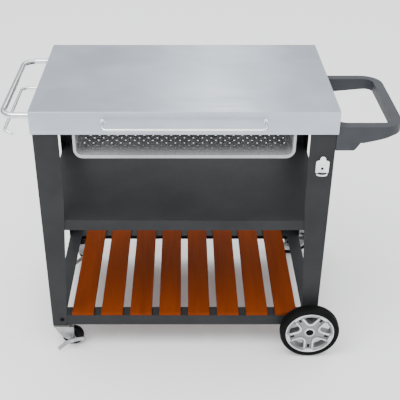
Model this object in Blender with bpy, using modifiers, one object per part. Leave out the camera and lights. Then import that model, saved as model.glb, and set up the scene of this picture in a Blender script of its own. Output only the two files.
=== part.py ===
"""Flat top griddle cart: a folded-steel frame on two large wheels and two braked casters, with a shallow
burner box, a griddle plate under a hinged stainless top, a pull-out perforated tray, a sheet shelf and a
slatted wooden shelf. Metres, +Z up, +Y to the back, origin on the floor under the middle of the cart."""

import bpy
import bmesh
from math import atan2, cos, pi, radians, sin
from mathutils import Matrix, Vector

GAP = 0.0003            # clearance between pieces that rest on each other
RUNNING = 0.0004        # radial clearance of a pin in its bore

# Overall sizes
TOP_WIDTH = 0.920       # stainless top, left to right
TOP_DEPTH = 0.549       # stainless top, front to back
HEIGHT = 0.910          # floor to the stainless top

# Stainless top, which is the lid
LID_SHEET = 0.0015
APRON_HEIGHT = 0.074
LIP_HEIGHT = 0.020
LID_BAR_LENGTH = 0.490
LID_BAR_ROD = 0.008
LID_BAR_STANDOFF = 0.0415
LID_BAR_FOOT_DROP = 0.030
LID_BAR_DROP = 0.038
LID_BAR_BEND = 0.012
LEG_SIDE_MARGIN = 0.0045  # legs' outer sides inside the top's side edges
FRONT_MARGIN = 0.0061

# Legs: folded L sections that taper below a third of their height
LEG_SHEET = 0.002
LEG_FRONT_WIDTH = 0.078
LEG_FRONT_FOOT = 0.049
LEG_SIDE_WIDTH = 0.062
LEG_SIDE_FOOT = 0.040
LEG_TOP_DROP = 0.062
LEG_TAPER_DROP = 0.300
CASTER_HEIGHT = 0.0917
AXLE_LEG_DROP = 0.018   # how far the wheel legs pass below the axle's centre

# Burner box and control panel
BOX_SHEET = 0.0015
BOX_TOP_DROP = 0.022
BOX_FLOOR_DROP = 0.072
SKIRT_DROP = 0.110
PANEL_RECESS = 0.0304   # control panel behind the legs' front plane
PANEL_SHEET = 0.0015
HOUSING_DEPTH = 0.038   # control housing, front to back
VENT_COUNT = 6
VENT_SIZE = (0.090, 0.014)

# Griddle plate
PLATE_THICKNESS = 0.005
PLATE_WALL = 0.003
PLATE_TOP_DROP = 0.025
PLATE_RIM_DROP = 0.005
PLATE_SIDE_MARGIN = 0.010
FOOT_DIAMETER = 0.014
DRAIN_BORE = 0.016
DRAIN_TUBE = 0.020
DRAIN_INSET = 0.030

# Gas train
BURNER_COUNT = 3
BURNER_PITCH = 0.290
BURNER_DIAMETER = 0.016
BURNER_WALL = 0.0012
GAS_AXIS_DROP = 0.053
VALVE_BODY = (0.020, 0.022, 0.018)
VALVE_BACK = 0.006      # valve body ahead of the housing's back
STEM_DIAMETER = 0.008
STEM_PUSH = 0.003
KNOB_DIAMETER = 0.034
KNOB_LENGTH = 0.020
MANIFOLD_DIAMETER = 0.011
GAS_PORT_X = 0.405
IGNITER_DIAMETER = 0.018
BUTTON_DIAMETER = 0.016
BUTTON_TRAVEL = 0.005

# Grease cup
CUP_SIZE = (0.096, 0.086, 0.045)
CUP_SHEET = 0.0015
CUP_TAB = 0.014
CUP_FLANGE = 0.008

# Pull-out perforated tray
TRAY_WIDTH = 0.657
TRAY_DEPTH = 0.440
TRAY_FLOOR_DROP = 0.145
TRAY_CORNER = 0.025
TRAY_SHEET = 0.0012
TRAY_RIM = 0.007
TRAY_LIP = 0.012
TRAY_FLANGE = 0.012
SLIDE_SHEET = 0.0015
SLIDE_HEIGHT = 0.0117
SLIDE_WIDTH = 0.0155

# Shelves
SHELF_DROP = 0.385
SHELF_EDGE = 0.038
SHELF_SHEET = 0.0015
SHELF_RETURN = 0.010
RAIL_TOP = 0.135
RAIL_HEIGHT = 0.040
RAIL_WIDTH = 0.046
RAIL_LIP = 0.011
RAIL_SHEET = 0.002
SLAT_COUNT = 8
SLAT_WIDTH = 0.0745
SLAT_GAP = 0.0251
SLAT_THICKNESS = 0.0125

# Hinge along the back
HINGE_LENGTH = 0.760
HINGE_PIN = 0.0036
HINGE_KNUCKLE = 0.008
HINGE_BACK = 0.0051     # pin axis behind the top's back edge
HINGE_DROP = 0.0235     # pin axis below the top
LEAF_SHEET = 0.0015
KNUCKLE_COUNT = 5

# Side fittings
SIDE_RAIL_TUBE = 0.019
SIDE_RAIL_BACK = TOP_DEPTH / 2 - 0.0635
SIDE_RAIL_FRONT = 0.0535 - TOP_DEPTH / 2
SIDE_RAIL_DROP = 0.0366
SIDE_RAIL_REACH = TOP_WIDTH / 2 + 0.092
SIDE_RAIL_BEND = 0.040
TOWEL_ROD = 0.010
TOWEL_DROP = 0.092
TOWEL_REACH = TOP_WIDTH / 2 + 0.091
TOWEL_BACK = 0.3835 - TOP_DEPTH / 2
TOWEL_FRONT = 0.0665 - TOP_DEPTH / 2
TOWEL_BEND = 0.018
TOWEL_HOOK = Vector((0.024, -0.010, -0.006))
HANDLE_TOP_DROP = 0.052
HANDLE_REACH = TOP_WIDTH / 2 + 0.198
HANDLE_BACK = TOP_DEPTH / 2 - 0.1525
HANDLE_BAR = 0.030
HANDLE_FRONT_HEIGHT = 0.053
HANDLE_BACK_HEIGHT = 0.043
HANDLE_OUTER_BEND = 0.066
HANDLE_INNER_BEND = 0.030
HANDLE_ROOT_BEND = 0.036
HANDLE_EDGE = 0.005
BRACKET_DROP = 0.133
BRACKET_WIDTH = 0.054
OPENER_X = TOP_WIDTH / 2 - 0.039
OPENER_DROP = 0.170
OPENER_SIZE = (0.041, 0.003, 0.042)
OPENER_TAB = 0.009
OPENER_LIP = 0.014

# Main wheels and axle
WHEEL_RADIUS = 0.1008
RIM_RADIUS = 0.0824
WHEEL_X = TOP_WIDTH / 2 - 0.033
WHEEL_FACE = 0.0556     # wheel's outer face ahead of the legs' front plane
WHEEL_WIDTH = 0.041
AXLE_DIAMETER = 0.012
HUB_BOSS = 0.018
SPOKE_COUNT = 5
SPOKE_WIDTH = 0.020

# Casters
CASTER_WHEEL_RADIUS = 0.0375
CASTER_WHEEL_WIDTH = 0.024
CASTER_X = TOP_WIDTH / 2 - 0.035
CASTER_INSET = 0.0184   # stem behind the legs' front plane
CASTER_TRAIL = 0.034
CASTER_PLATE = 0.056
CASTER_PLATE_SHEET = 0.0025
FORK_SHEET = 0.0025
FORK_GAP = 0.002
CASTER_PIN = 0.008
FORK_HEAD = 0.004       # thickness of the yoke's top plate
FORK_HUB = 0.011        # radius of a cheek's end round the pin
FORK_FRONT = 0.0405     # cheek's edge over the wheel, from the stem
RACE_DROP = 0.006
RACE_RADIUS = 0.021
BRAKE_SHEET = 0.0025
BRAKE_WIDTH = 0.015
BRAKE_REACH = 0.049
BRAKE_STANDOFF = 0.0165  # rocker's middle ahead of the yoke
BRAKE_BOSS = 0.008
BRAKE_TILT = radians(20)

# Planes that several pieces share
LEG_X = TOP_WIDTH / 2 - LEG_SIDE_MARGIN
LEG_Y = TOP_DEPTH / 2 - FRONT_MARGIN
CORE_X = LEG_X - LEG_SHEET - GAP
CORE_Y = LEG_Y - LEG_SHEET - GAP
LEG_TOP = HEIGHT - LEG_TOP_DROP
BOX_TOP = HEIGHT - BOX_TOP_DROP
BOX_FLOOR = HEIGHT - BOX_FLOOR_DROP
BOX_FRONT = -(LEG_Y - PANEL_RECESS - PANEL_SHEET - GAP)
PANEL_FACE = BOX_FRONT - GAP - PANEL_SHEET
HOUSING_BACK = PANEL_FACE + HOUSING_DEPTH
GAS_AXIS = HEIGHT - GAS_AXIS_DROP
PLATE_TOP = HEIGHT - PLATE_TOP_DROP
PLATE_UNDER = PLATE_TOP - PLATE_THICKNESS
PLATE_FRONT = HOUSING_BACK + 0.003
PLATE_BACK = CORE_Y - 0.010
PLATE_HALF = CORE_X - BOX_SHEET - PLATE_SIDE_MARGIN
DRAIN_Y = PLATE_BACK - DRAIN_INSET
SHELF_TOP = HEIGHT - SHELF_DROP
AXLE_Z = WHEEL_RADIUS
WHEEL_OUT = LEG_Y + WHEEL_FACE
AXLE_END = WHEEL_OUT - 0.012          # the axle ends behind the recessed caps of the wheels
CASTER_Y = LEG_Y - CASTER_INSET
HINGE_Y = TOP_DEPTH / 2 + HINGE_BACK
HINGE_Z = HEIGHT - HINGE_DROP
LID_BAR_Y = -(TOP_DEPTH / 2 + LID_BAR_STANDOFF)
BURNER_XS = [(i - (BURNER_COUNT - 1) / 2) * BURNER_PITCH for i in range(BURNER_COUNT)]
TRAY_FRONT = -LEG_Y + TRAY_SHEET
TRAY_WALL_TOP = BOX_FLOOR - 0.0045

# The origin is on the floor under the middle of the whole cart
ORIGIN_X = (HANDLE_REACH - SIDE_RAIL_REACH - SIDE_RAIL_TUBE / 2) / 2
FRONT_END = min(LID_BAR_Y - LID_BAR_ROD / 2, -WHEEL_OUT)
ORIGIN_Y = (FRONT_END + WHEEL_OUT) / 2

FINISHES = {
    "stainless": ((0.62, 0.63, 0.64), 0.35, 1.0),
    "chrome": ((0.80, 0.80, 0.80), 0.12, 1.0),
    "zinc": ((0.60, 0.60, 0.58), 0.30, 1.0),
    "dark_paint": ((0.065, 0.067, 0.070), 0.45, 0.0),
    "griddle_steel": ((0.05, 0.05, 0.05), 0.40, 1.0),
    "brass": ((0.62, 0.45, 0.20), 0.30, 1.0),
    "wood": ((0.16, 0.03, 0.006), 0.50, 0.0),
    "handle_plastic": ((0.085, 0.095, 0.102), 0.50, 0.0),
    "black_plastic": ((0.012, 0.012, 0.012), 0.35, 0.0),
    "tyre": ((0.012, 0.012, 0.012), 0.80, 0.0),
}

PLACES = {}             # build position of each empty, before the origin shift


def clear_scene():
    for old in list(bpy.data.objects):
        bpy.data.objects.remove(old, do_unlink=True)


def collection(name):
    made = bpy.data.collections.new(name)
    bpy.context.scene.collection.children.link(made)
    return made


clear_scene()
PARTS = collection("flat_top_griddle")
CUTTERS = collection("cutters")


def material(name):
    found = bpy.data.materials.get(name)
    if found:
        return found
    colour, roughness, metallic = FINISHES[name]
    made = bpy.data.materials.new(name)
    made.use_nodes = True
    shader = made.node_tree.nodes["Principled BSDF"]
    shader.inputs["Base Color"].default_value = (*colour, 1.0)
    shader.inputs["Roughness"].default_value = roughness
    shader.inputs["Metallic"].default_value = metallic
    return made


def pivot(name, at, parent=None):
    """An empty on a joint's axis, or the whole cart's root."""
    empty = bpy.data.objects.new(name, None)
    empty.empty_display_size = 0.05
    PARTS.objects.link(empty)
    PLACES[name] = Vector(at)
    if parent:
        empty.parent = parent
        empty.location = Vector(at) - PLACES[parent.name]
    return empty


ROOT = pivot("cart_root", (0, 0, 0))
ROOT.location = (-ORIGIN_X, -ORIGIN_Y, 0)


def add(name, data, at, finish=None, parent=None, rotation=(0, 0, 0)):
    """Links data as a part, or as a hidden cutter when it has no finish."""
    made = bpy.data.objects.new(name, data)
    holder = parent or ROOT
    made.parent = holder
    made.location = Vector(at) - PLACES[holder.name]
    made.rotation_euler = rotation
    if finish:
        PARTS.objects.link(made)
        data.materials.append(material(finish))
    else:
        CUTTERS.objects.link(made)
        made.hide_render = True
        made.display_type = "WIRE"
    return made


def to_mesh(bm, name, smooth=False):
    mesh = bpy.data.meshes.new(name)
    bm.to_mesh(mesh)
    bm.free()
    if smooth:
        mesh.shade_smooth()
        mesh.set_sharp_from_angle(angle=radians(35))
    return mesh


def block(name, low, high, finish=None, parent=None, rotation=(0, 0, 0)):
    low, high = Vector(low), Vector(high)
    bm = bmesh.new()
    bmesh.ops.create_cube(bm, size=1.0)
    bmesh.ops.scale(bm, vec=high - low, verts=bm.verts)
    return add(name, to_mesh(bm, name), (low + high) / 2, finish, parent, rotation)


def rod(name, start, end, radius, finish=None, parent=None, sides=24):
    start, end = Vector(start), Vector(end)
    bm = bmesh.new()
    bmesh.ops.create_cone(bm, cap_ends=True, segments=sides, radius1=radius, radius2=radius,
                          depth=(end - start).length)
    turn = (end - start).to_track_quat("Z", "Y").to_euler()
    return add(name, to_mesh(bm, name, smooth=True), (start + end) / 2, finish, parent, turn)


def turned(name, profile, at, finish=None, parent=None, rotation=(0, 0, 0), steps=40, ring=True,
           flip=False):
    """A lathe shape about local Z. The profile runs (radius, height) down its outer side."""
    bm = bmesh.new()
    verts = [bm.verts.new((r, 0, z)) for r, z in profile]
    for a, b in zip(verts, verts[1:] + (verts[:1] if ring else [])):
        bm.edges.new((a, b))
    made = add(name, to_mesh(bm, name), at, finish, parent, rotation)
    screw = made.modifiers.new("turn", "SCREW")
    screw.steps = steps
    screw.render_steps = steps
    screw.use_merge_vertices = True
    screw.merge_threshold = 0.00001
    screw.use_normal_calculate = True
    screw.use_normal_flip = flip
    screw.use_smooth_shade = True
    return made


def rounded(points, radii, steps=6, closed=False):
    """The points of a path with its corners rounded to the given radii."""
    points = [Vector(p) for p in points]
    radii = radii if isinstance(radii, (list, tuple)) else [radii] * len(points)
    out = []
    for i, point in enumerate(points):
        inner = closed or 0 < i < len(points) - 1
        if not inner or radii[i] == 0:
            out.append(point)
            continue
        before = (points[i - 1] - point).normalized()
        after = (points[(i + 1) % len(points)] - point).normalized()
        half = before.angle(after) / 2
        reach = radii[i] * cos(half) / sin(half)
        centre = point + (before + after).normalized() * radii[i] / sin(half)
        start = (point + before * reach - centre).normalized()
        end = (point + after * reach - centre).normalized()
        for k in range(steps + 1):
            out.append(centre + start.slerp(end, k / steps) * radii[i])
    return out


def tube(name, points, diameter, finish, parent=None, resolution=3):
    """A round rod along a path, as a curve with filled ends."""
    curve = bpy.data.curves.new(name, "CURVE")
    curve.dimensions = "3D"
    curve.bevel_depth = diameter / 2
    curve.bevel_resolution = resolution
    curve.use_fill_caps = True
    spline = curve.splines.new("POLY")
    spline.points.add(len(points) - 1)
    start = Vector(points[0])
    for slot, point in zip(spline.points, points):
        slot.co = (*(Vector(point) - start), 1)
    spline.use_smooth = True
    return add(name, curve, start, finish, parent)


def plate(name, points, thickness, at, finish=None, parent=None, rotation=(0, 0, 0), edge=0.0):
    """A flat outline of an even thickness, as a closed mesh centred on its own plane, with rounded edges."""
    curve = bpy.data.curves.new(name, "CURVE")
    curve.dimensions = "2D"
    curve.fill_mode = "BOTH"
    curve.extrude = thickness / 2 - edge
    curve.bevel_depth = edge
    curve.bevel_resolution = 1
    curve.offset = -edge
    spline = curve.splines.new("POLY")
    spline.points.add(len(points) - 1)
    for slot, point in zip(spline.points, points):
        slot.co = (point[0], point[1], 0, 1)
    spline.use_cyclic_u = True
    guide = bpy.data.objects.new(name + "_outline", curve)
    CUTTERS.objects.link(guide)
    bpy.context.view_layer.update()
    seen = guide.evaluated_get(bpy.context.evaluated_depsgraph_get())
    mesh = bpy.data.meshes.new_from_object(seen)
    bpy.data.objects.remove(guide)
    bm = bmesh.new()
    bm.from_mesh(mesh)
    bmesh.ops.remove_doubles(bm, verts=bm.verts, dist=0.00001)
    bm.to_mesh(mesh)
    bm.free()
    mesh.name = name
    mesh.materials.clear()
    return add(name, mesh, at, finish, parent, rotation)


def boolean(target, other, operation="DIFFERENCE"):
    made = target.modifiers.new(other.name, "BOOLEAN")
    made.operation = operation
    made.object = other
    made.solver = "EXACT"


def cut(target, *others):
    for other in others:
        boolean(target, other)


def join(target, *others):
    for other in others:
        boolean(target, other, "UNION")


def bevel(target, width, segments=1, angle=50):
    made = target.modifiers.new("edges", "BEVEL")
    made.width = width
    made.segments = segments
    made.limit_method = "ANGLE"
    made.angle_limit = radians(angle)
    made.use_clamp_overlap = True


def thicken(target, thickness):
    """Gives an open sheet its thickness on the side away from its normals."""
    made = target.modifiers.new("sheet", "SOLIDIFY")
    made.thickness = thickness
    made.offset = -1
    made.use_even_offset = True


def face_outwards(bm, inside):
    """Turns an open sheet's faces so that its largest one looks away from the inside point."""
    bmesh.ops.recalc_face_normals(bm, faces=bm.faces)
    largest = max(bm.faces, key=lambda f: f.calc_area())
    if largest.normal.dot(largest.calc_center_median() - Vector(inside)) < 0:
        bmesh.ops.reverse_faces(bm, faces=bm.faces)


def folded(name, profile, length, at, finish, inside, sheet, parent=None, turn=0.0):
    """A folded section of (y, z) points, run along local X and centred there."""
    bm = bmesh.new()
    verts = [bm.verts.new((-length / 2, y, z)) for y, z in profile]
    edges = [bm.edges.new(pair) for pair in zip(verts, verts[1:])]
    made = bmesh.ops.extrude_edge_only(bm, edges=edges)
    moved = [v for v in made["geom"] if isinstance(v, bmesh.types.BMVert)]
    bmesh.ops.translate(bm, verts=moved, vec=(length, 0, 0))
    face_outwards(bm, (0, *inside))
    result = add(name, to_mesh(bm, name), at, finish, parent, (0, 0, turn))
    thicken(result, sheet)
    return result


# ---------------------------------------------------------------- frame

def build_leg(name, side, end, foot_z):
    """A folded L leg. side is -1 left or 1 right, end is -1 front or 1 back."""
    taper_z = HEIGHT - LEG_TAPER_DROP
    heights = (LEG_TOP, taper_z, foot_z)
    bm = bmesh.new()
    fold = [bm.verts.new((0, 0, z - foot_z)) for z in heights]
    edges = [bm.edges.new(pair) for pair in zip(fold, fold[1:])]
    flanges = (((-side, 0, 0), LEG_FRONT_WIDTH, LEG_FRONT_FOOT),
               ((0, -end, 0), LEG_SIDE_WIDTH, LEG_SIDE_FOOT))
    for direction, wide, narrow in flanges:
        made = bmesh.ops.extrude_edge_only(bm, edges=edges)
        for v in (g for g in made["geom"] if isinstance(g, bmesh.types.BMVert)):
            share = max(0.0, (taper_z - foot_z - v.co.z) / (taper_z - foot_z))
            v.co += Vector(direction) * (wide + (narrow - wide) * share)
    face_outwards(bm, (-side * LEG_SIDE_FOOT, -end * LEG_SIDE_FOOT, 0))
    leg = add(name, to_mesh(bm, name), (side * LEG_X, end * LEG_Y, foot_z), "dark_paint")
    thicken(leg, LEG_SHEET)
    return leg


def build_frame():
    axle_hole = rod("axle_hole", (WHEEL_X, -WHEEL_OUT, AXLE_Z), (WHEEL_X, WHEEL_OUT, AXLE_Z),
                    AXLE_DIAMETER / 2 + GAP)
    for end, place in ((-1, "front"), (1, "back")):
        build_leg("leg_left_" + place, -1, end, CASTER_HEIGHT + GAP)
        cut(build_leg("leg_right_" + place, 1, end, AXLE_Z - AXLE_LEG_DROP), axle_hole)

    # The mid shelf is a pan turned upside down, with a return along its lower edge
    bm = bmesh.new()
    bmesh.ops.create_cube(bm, size=1.0)
    bmesh.ops.scale(bm, vec=(2 * CORE_X, 2 * CORE_Y, SHELF_EDGE), verts=bm.verts)
    bottom = min(bm.faces, key=lambda f: f.calc_center_median().z)
    bmesh.ops.delete(bm, geom=[bottom], context="FACES_ONLY")
    rim = [e for e in bm.edges if e.is_boundary]
    made = bmesh.ops.extrude_edge_only(bm, edges=rim)
    for v in (g for g in made["geom"] if isinstance(g, bmesh.types.BMVert)):
        v.co.x -= SHELF_RETURN if v.co.x > 0 else -SHELF_RETURN
        v.co.y -= SHELF_RETURN if v.co.y > 0 else -SHELF_RETURN
    face_outwards(bm, (0, 0, 0))
    shelf = add("mid_shelf", to_mesh(bm, "mid_shelf"), (0, 0, SHELF_TOP - SHELF_EDGE / 2), "dark_paint")
    thicken(shelf, SHELF_SHEET)

    # Lower rails are channels with a wide top flange, a face and a short lip below
    half = RAIL_WIDTH / 2
    channel = ((half, 0), (-half, 0), (-half, -RAIL_HEIGHT), (-half + RAIL_LIP, -RAIL_HEIGHT))
    inside = (0, -RAIL_HEIGHT / 2)
    for end, place, turn in ((-1, "front", 0.0), (1, "back", pi)):
        rail = folded("lower_rail_" + place, channel, 2 * CORE_X, (0, end * (CORE_Y - half), RAIL_TOP),
                      "dark_paint", inside, RAIL_SHEET, turn=turn)
        cut(rail, axle_hole)
    side_length = 2 * (CORE_Y - RAIL_WIDTH - GAP)
    for side, place, turn in ((-1, "left", -pi / 2), (1, "right", pi / 2)):
        folded("lower_rail_" + place, channel, side_length, (side * (CORE_X - half), 0, RAIL_TOP),
               "dark_paint", inside, RAIL_SHEET, turn=turn)

    pitch = SLAT_WIDTH + SLAT_GAP
    for i in range(SLAT_COUNT):
        x = (i - (SLAT_COUNT - 1) / 2) * pitch
        low = (x - SLAT_WIDTH / 2, -CORE_Y, RAIL_TOP + GAP)
        slat = block(f"slat_{i + 1}", low, (x + SLAT_WIDTH / 2, CORE_Y, low[2] + SLAT_THICKNESS), "wood")
        bevel(slat, 0.0015)


# ---------------------------------------------------------------- burner box and what it holds

def build_burner_box():
    box = block("burner_box", (-CORE_X, BOX_FRONT, HEIGHT - SKIRT_DROP), (CORE_X, CORE_Y, BOX_TOP),
                "stainless")
    wall = CORE_X - BOX_SHEET
    out = 0.02
    above = block("box_room_above", (-wall, BOX_FRONT - out, BOX_FLOOR + BOX_SHEET),
                  (wall, CORE_Y - BOX_SHEET, BOX_TOP + out))
    below = block("box_room_below", (-wall, BOX_FRONT - out, HEIGHT - SKIRT_DROP - out),
                  (wall, CORE_Y + out, BOX_FLOOR))
    drain = rod("drain_hole", (0, DRAIN_Y, BOX_FLOOR - out), (0, DRAIN_Y, BOX_FLOOR + out),
                DRAIN_TUBE / 2 + 0.002)
    gas_port = rod("gas_port", (GAS_PORT_X, HOUSING_BACK - 0.012, BOX_FLOOR - out),
                   (GAS_PORT_X, HOUSING_BACK - 0.012, BOX_FLOOR + out), MANIFOLD_DIAMETER / 2 + 0.002)
    cut(box, above, below, drain, gas_port)
    for i in range(VENT_COUNT):
        x = (i - (VENT_COUNT - 1) / 2) * (VENT_SIZE[0] + 0.045)
        cut(box, block(f"vent_{i + 1}", (x - VENT_SIZE[0] / 2, -VENT_SIZE[1] / 2, BOX_FLOOR - out),
                       (x + VENT_SIZE[0] / 2, VENT_SIZE[1] / 2, BOX_FLOOR + out)))
    # Two angles under the floor carry the grease cup by its flanges
    lip = CUP_FLANGE - 0.001
    web_low = BOX_FLOOR - 0.016
    for side in (-1, 1):
        web_x = CUP_SIZE[0] / 2 + CUP_FLANGE + 0.001
        web = sorted((side * web_x, side * (web_x + BOX_SHEET)))
        shelf = sorted((side * (web_x - lip), side * (web_x + BOX_SHEET)))
        front = cup_front()
        join(box, block(f"runner_web_{side}", (web[0], front, web_low),
                        (web[1], CORE_Y - 0.001, BOX_FLOOR + 0.0008)),
             block(f"runner_lip_{side}", (shelf[0], front, web_low),
                   (shelf[1], CORE_Y - 0.001, web_low + BOX_SHEET)))


def cup_front():
    return DRAIN_Y - CUP_SIZE[1] / 2


def build_grease_cup():
    flange_z = BOX_FLOOR - 0.016 + BOX_SHEET + GAP
    front, back = cup_front(), cup_front() + CUP_SIZE[1]
    slide = pivot("grease_cup_slide", (0, DRAIN_Y, flange_z), ROOT)
    half = CUP_SIZE[0] / 2
    cup = block("grease_cup", (-half, front, flange_z + CUP_SHEET - CUP_SIZE[2]),
                (half, back, flange_z + CUP_SHEET),
                "stainless", slide)
    flange = block("cup_flange", (-half - CUP_FLANGE, front, flange_z),
                   (half + CUP_FLANGE, back + CUP_TAB, flange_z + CUP_SHEET), parent=slide)
    room = block("cup_room", (-half + CUP_SHEET, front + CUP_SHEET, flange_z + 2 * CUP_SHEET - CUP_SIZE[2]),
                 (half - CUP_SHEET, back - CUP_SHEET, flange_z + 0.02), parent=slide)
    join(cup, flange)
    cut(cup, room)


def build_griddle_plate():
    top = HEIGHT - PLATE_RIM_DROP
    plate_body = block("griddle_plate", (-PLATE_HALF, PLATE_FRONT, PLATE_UNDER),
                       (PLATE_HALF, PLATE_BACK, top),
                       "griddle_steel")
    room = block("plate_room", (-PLATE_HALF + PLATE_WALL, PLATE_FRONT + PLATE_WALL, PLATE_TOP),
                 (PLATE_HALF - PLATE_WALL, PLATE_BACK - PLATE_WALL, top + 0.02))
    cut(plate_body, room)
    inset = 0.030
    for side in (-1, 1):
        for place, y in (("front", PLATE_FRONT + inset), ("back", PLATE_BACK - inset)):
            x = side * (PLATE_HALF - inset)
            join(plate_body, rod(f"foot_{place}_{side}", (x, y, BOX_FLOOR + BOX_SHEET + GAP),
                                 (x, y, PLATE_TOP - 0.001), FOOT_DIAMETER / 2, sides=16))
    spout = rod("drain_spout", (0, DRAIN_Y, BOX_FLOOR - 0.003), (0, DRAIN_Y, PLATE_TOP - 0.001),
                DRAIN_TUBE / 2)
    bore = rod("drain_bore", (0, DRAIN_Y, BOX_FLOOR - 0.02), (0, DRAIN_Y, PLATE_TOP + 0.02), DRAIN_BORE / 2)
    join(plate_body, spout)
    cut(plate_body, bore)


def build_control_panel():
    top = BOX_TOP - 0.0005
    floor = BOX_FLOOR + 0.001
    panel = folded("control_panel", ((HOUSING_DEPTH, top - floor), (0, top - floor), (0, 0)), 2 * CORE_X,
                   (0, PANEL_FACE, floor), "stainless", (HOUSING_DEPTH, 0), PANEL_SHEET)
    # Its top flange drops between the box's side walls
    for side in (-1, 1):
        edges = sorted((side * (CORE_X - BOX_SHEET - GAP), side * (CORE_X + 0.01)))
        cut(panel, block(f"panel_notch_{side}", (edges[0], BOX_FRONT - GAP, floor - 0.01),
                         (edges[1], HOUSING_BACK + 0.01, top + 0.01)))
    for i, x in enumerate(BURNER_XS):
        cut(panel, rod(f"stem_hole_{i + 1}", (x, PANEL_FACE - 0.01, GAS_AXIS),
                       (x, BOX_FRONT + 0.01, GAS_AXIS),
                       STEM_DIAMETER / 2 + 0.0015))
    x = button_x()
    cut(panel, rod("button_hole", (x, PANEL_FACE - 0.01, GAS_AXIS), (x, BOX_FRONT + 0.01, GAS_AXIS),
                   BUTTON_DIAMETER / 2 + RUNNING))


def button_x():
    return BURNER_PITCH / 2


def build_gas_train():
    valve_front = HOUSING_BACK - VALVE_BACK - VALVE_BODY[1]
    valve_back = HOUSING_BACK - VALVE_BACK
    stem_bore = STEM_DIAMETER / 2 + RUNNING
    stem_depth = 0.007
    stem_y = valve_front + stem_depth
    knob_back = PANEL_FACE - STEM_PUSH - 0.001
    knob_front = knob_back - KNOB_LENGTH
    burner_front = PLATE_FRONT + 0.004
    for i, x in enumerate(BURNER_XS):
        n = i + 1
        half_x, half_z = VALVE_BODY[0] / 2, VALVE_BODY[2] / 2
        valve = block(f"gas_valve_{n}", (x - half_x, valve_front, GAS_AXIS - half_z),
                      (x + half_x, valve_back, GAS_AXIS + half_z), "brass")
        nozzle = rod(f"nozzle_{n}", (x, valve_back - 0.002, GAS_AXIS), (x, burner_front + 0.004, GAS_AXIS),
                     0.004,
                     sides=12)
        join(valve, nozzle)
        cut(valve, rod(f"valve_bore_{n}", (x, valve_front - 0.01, GAS_AXIS),
                       (x, stem_y + STEM_PUSH + 0.001, GAS_AXIS), stem_bore, sides=16))
        push = pivot(f"knob_{n}_push", (x, PANEL_FACE, GAS_AXIS), ROOT)
        stem_front = knob_back - 0.010
        rod(f"valve_stem_{n}", (x, stem_front, GAS_AXIS), (x, stem_y, GAS_AXIS), STEM_DIAMETER / 2, "brass",
            push,
            sides=16)
        turn = pivot(f"knob_{n}_turn", (x, PANEL_FACE, GAS_AXIS), push)
        knob = rod(f"knob_{n}", (x, knob_front, GAS_AXIS), (x, knob_back, GAS_AXIS), KNOB_DIAMETER / 2,
                   "black_plastic", turn, sides=32)
        bevel(knob, 0.002, 2)
        grip = 0.007
        for side in (-1, 1):
            edges = sorted((side * grip / 2, side * KNOB_DIAMETER))
            cut(knob, block(f"knob_{n}_flat_{side}",
                            (x + edges[0], knob_front - 0.01, GAS_AXIS - KNOB_DIAMETER),
                            (x + edges[1], knob_front + KNOB_LENGTH * 0.55,
                             GAS_AXIS + KNOB_DIAMETER), parent=turn))
        cut(knob, rod(f"knob_{n}_bore", (x, stem_front - GAP, GAS_AXIS), (x, knob_back + 0.01, GAS_AXIS),
                      stem_bore,
                      parent=turn, sides=16))
        outer, bore = BURNER_DIAMETER / 2, BURNER_DIAMETER / 2 - BURNER_WALL
        length = PLATE_BACK - 0.050 - burner_front
        profile = ((0.0, length), (outer, length), (outer, 0.0), (bore, 0.0), (bore, length - BURNER_WALL),
                   (0.0, length - BURNER_WALL))
        turned(f"burner_{n}", profile, (x, burner_front, GAS_AXIS), "stainless", rotation=(-pi / 2, 0, 0),
               steps=24,
               ring=False, flip=True)
    pipe_z = GAS_AXIS + VALVE_BODY[2] / 2 + GAP + MANIFOLD_DIAMETER / 2
    pipe_y = HOUSING_BACK - 0.012
    left = BURNER_XS[0] - 0.025
    path = [(left, pipe_y, pipe_z), (GAS_PORT_X, pipe_y, pipe_z), (GAS_PORT_X, pipe_y, BOX_FLOOR - 0.012)]
    tube("gas_manifold", rounded(path, 0.016), MANIFOLD_DIAMETER, "brass")
    x = button_x()
    igniter_front = BOX_FRONT + BUTTON_TRAVEL + 0.002
    rod("igniter_body", (x, igniter_front, GAS_AXIS), (x, HOUSING_BACK - 0.002, GAS_AXIS),
        IGNITER_DIAMETER / 2,
        "black_plastic")
    press = pivot("igniter_press", (x, PANEL_FACE, GAS_AXIS), ROOT)
    button = rod("igniter_button", (x, PANEL_FACE - BUTTON_TRAVEL - 0.003, GAS_AXIS),
                 (x, igniter_front - BUTTON_TRAVEL - GAP,
                  GAS_AXIS), BUTTON_DIAMETER / 2, "black_plastic", press)
    bevel(button, 0.001)


# ---------------------------------------------------------------- stainless top and its hinge

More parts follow.
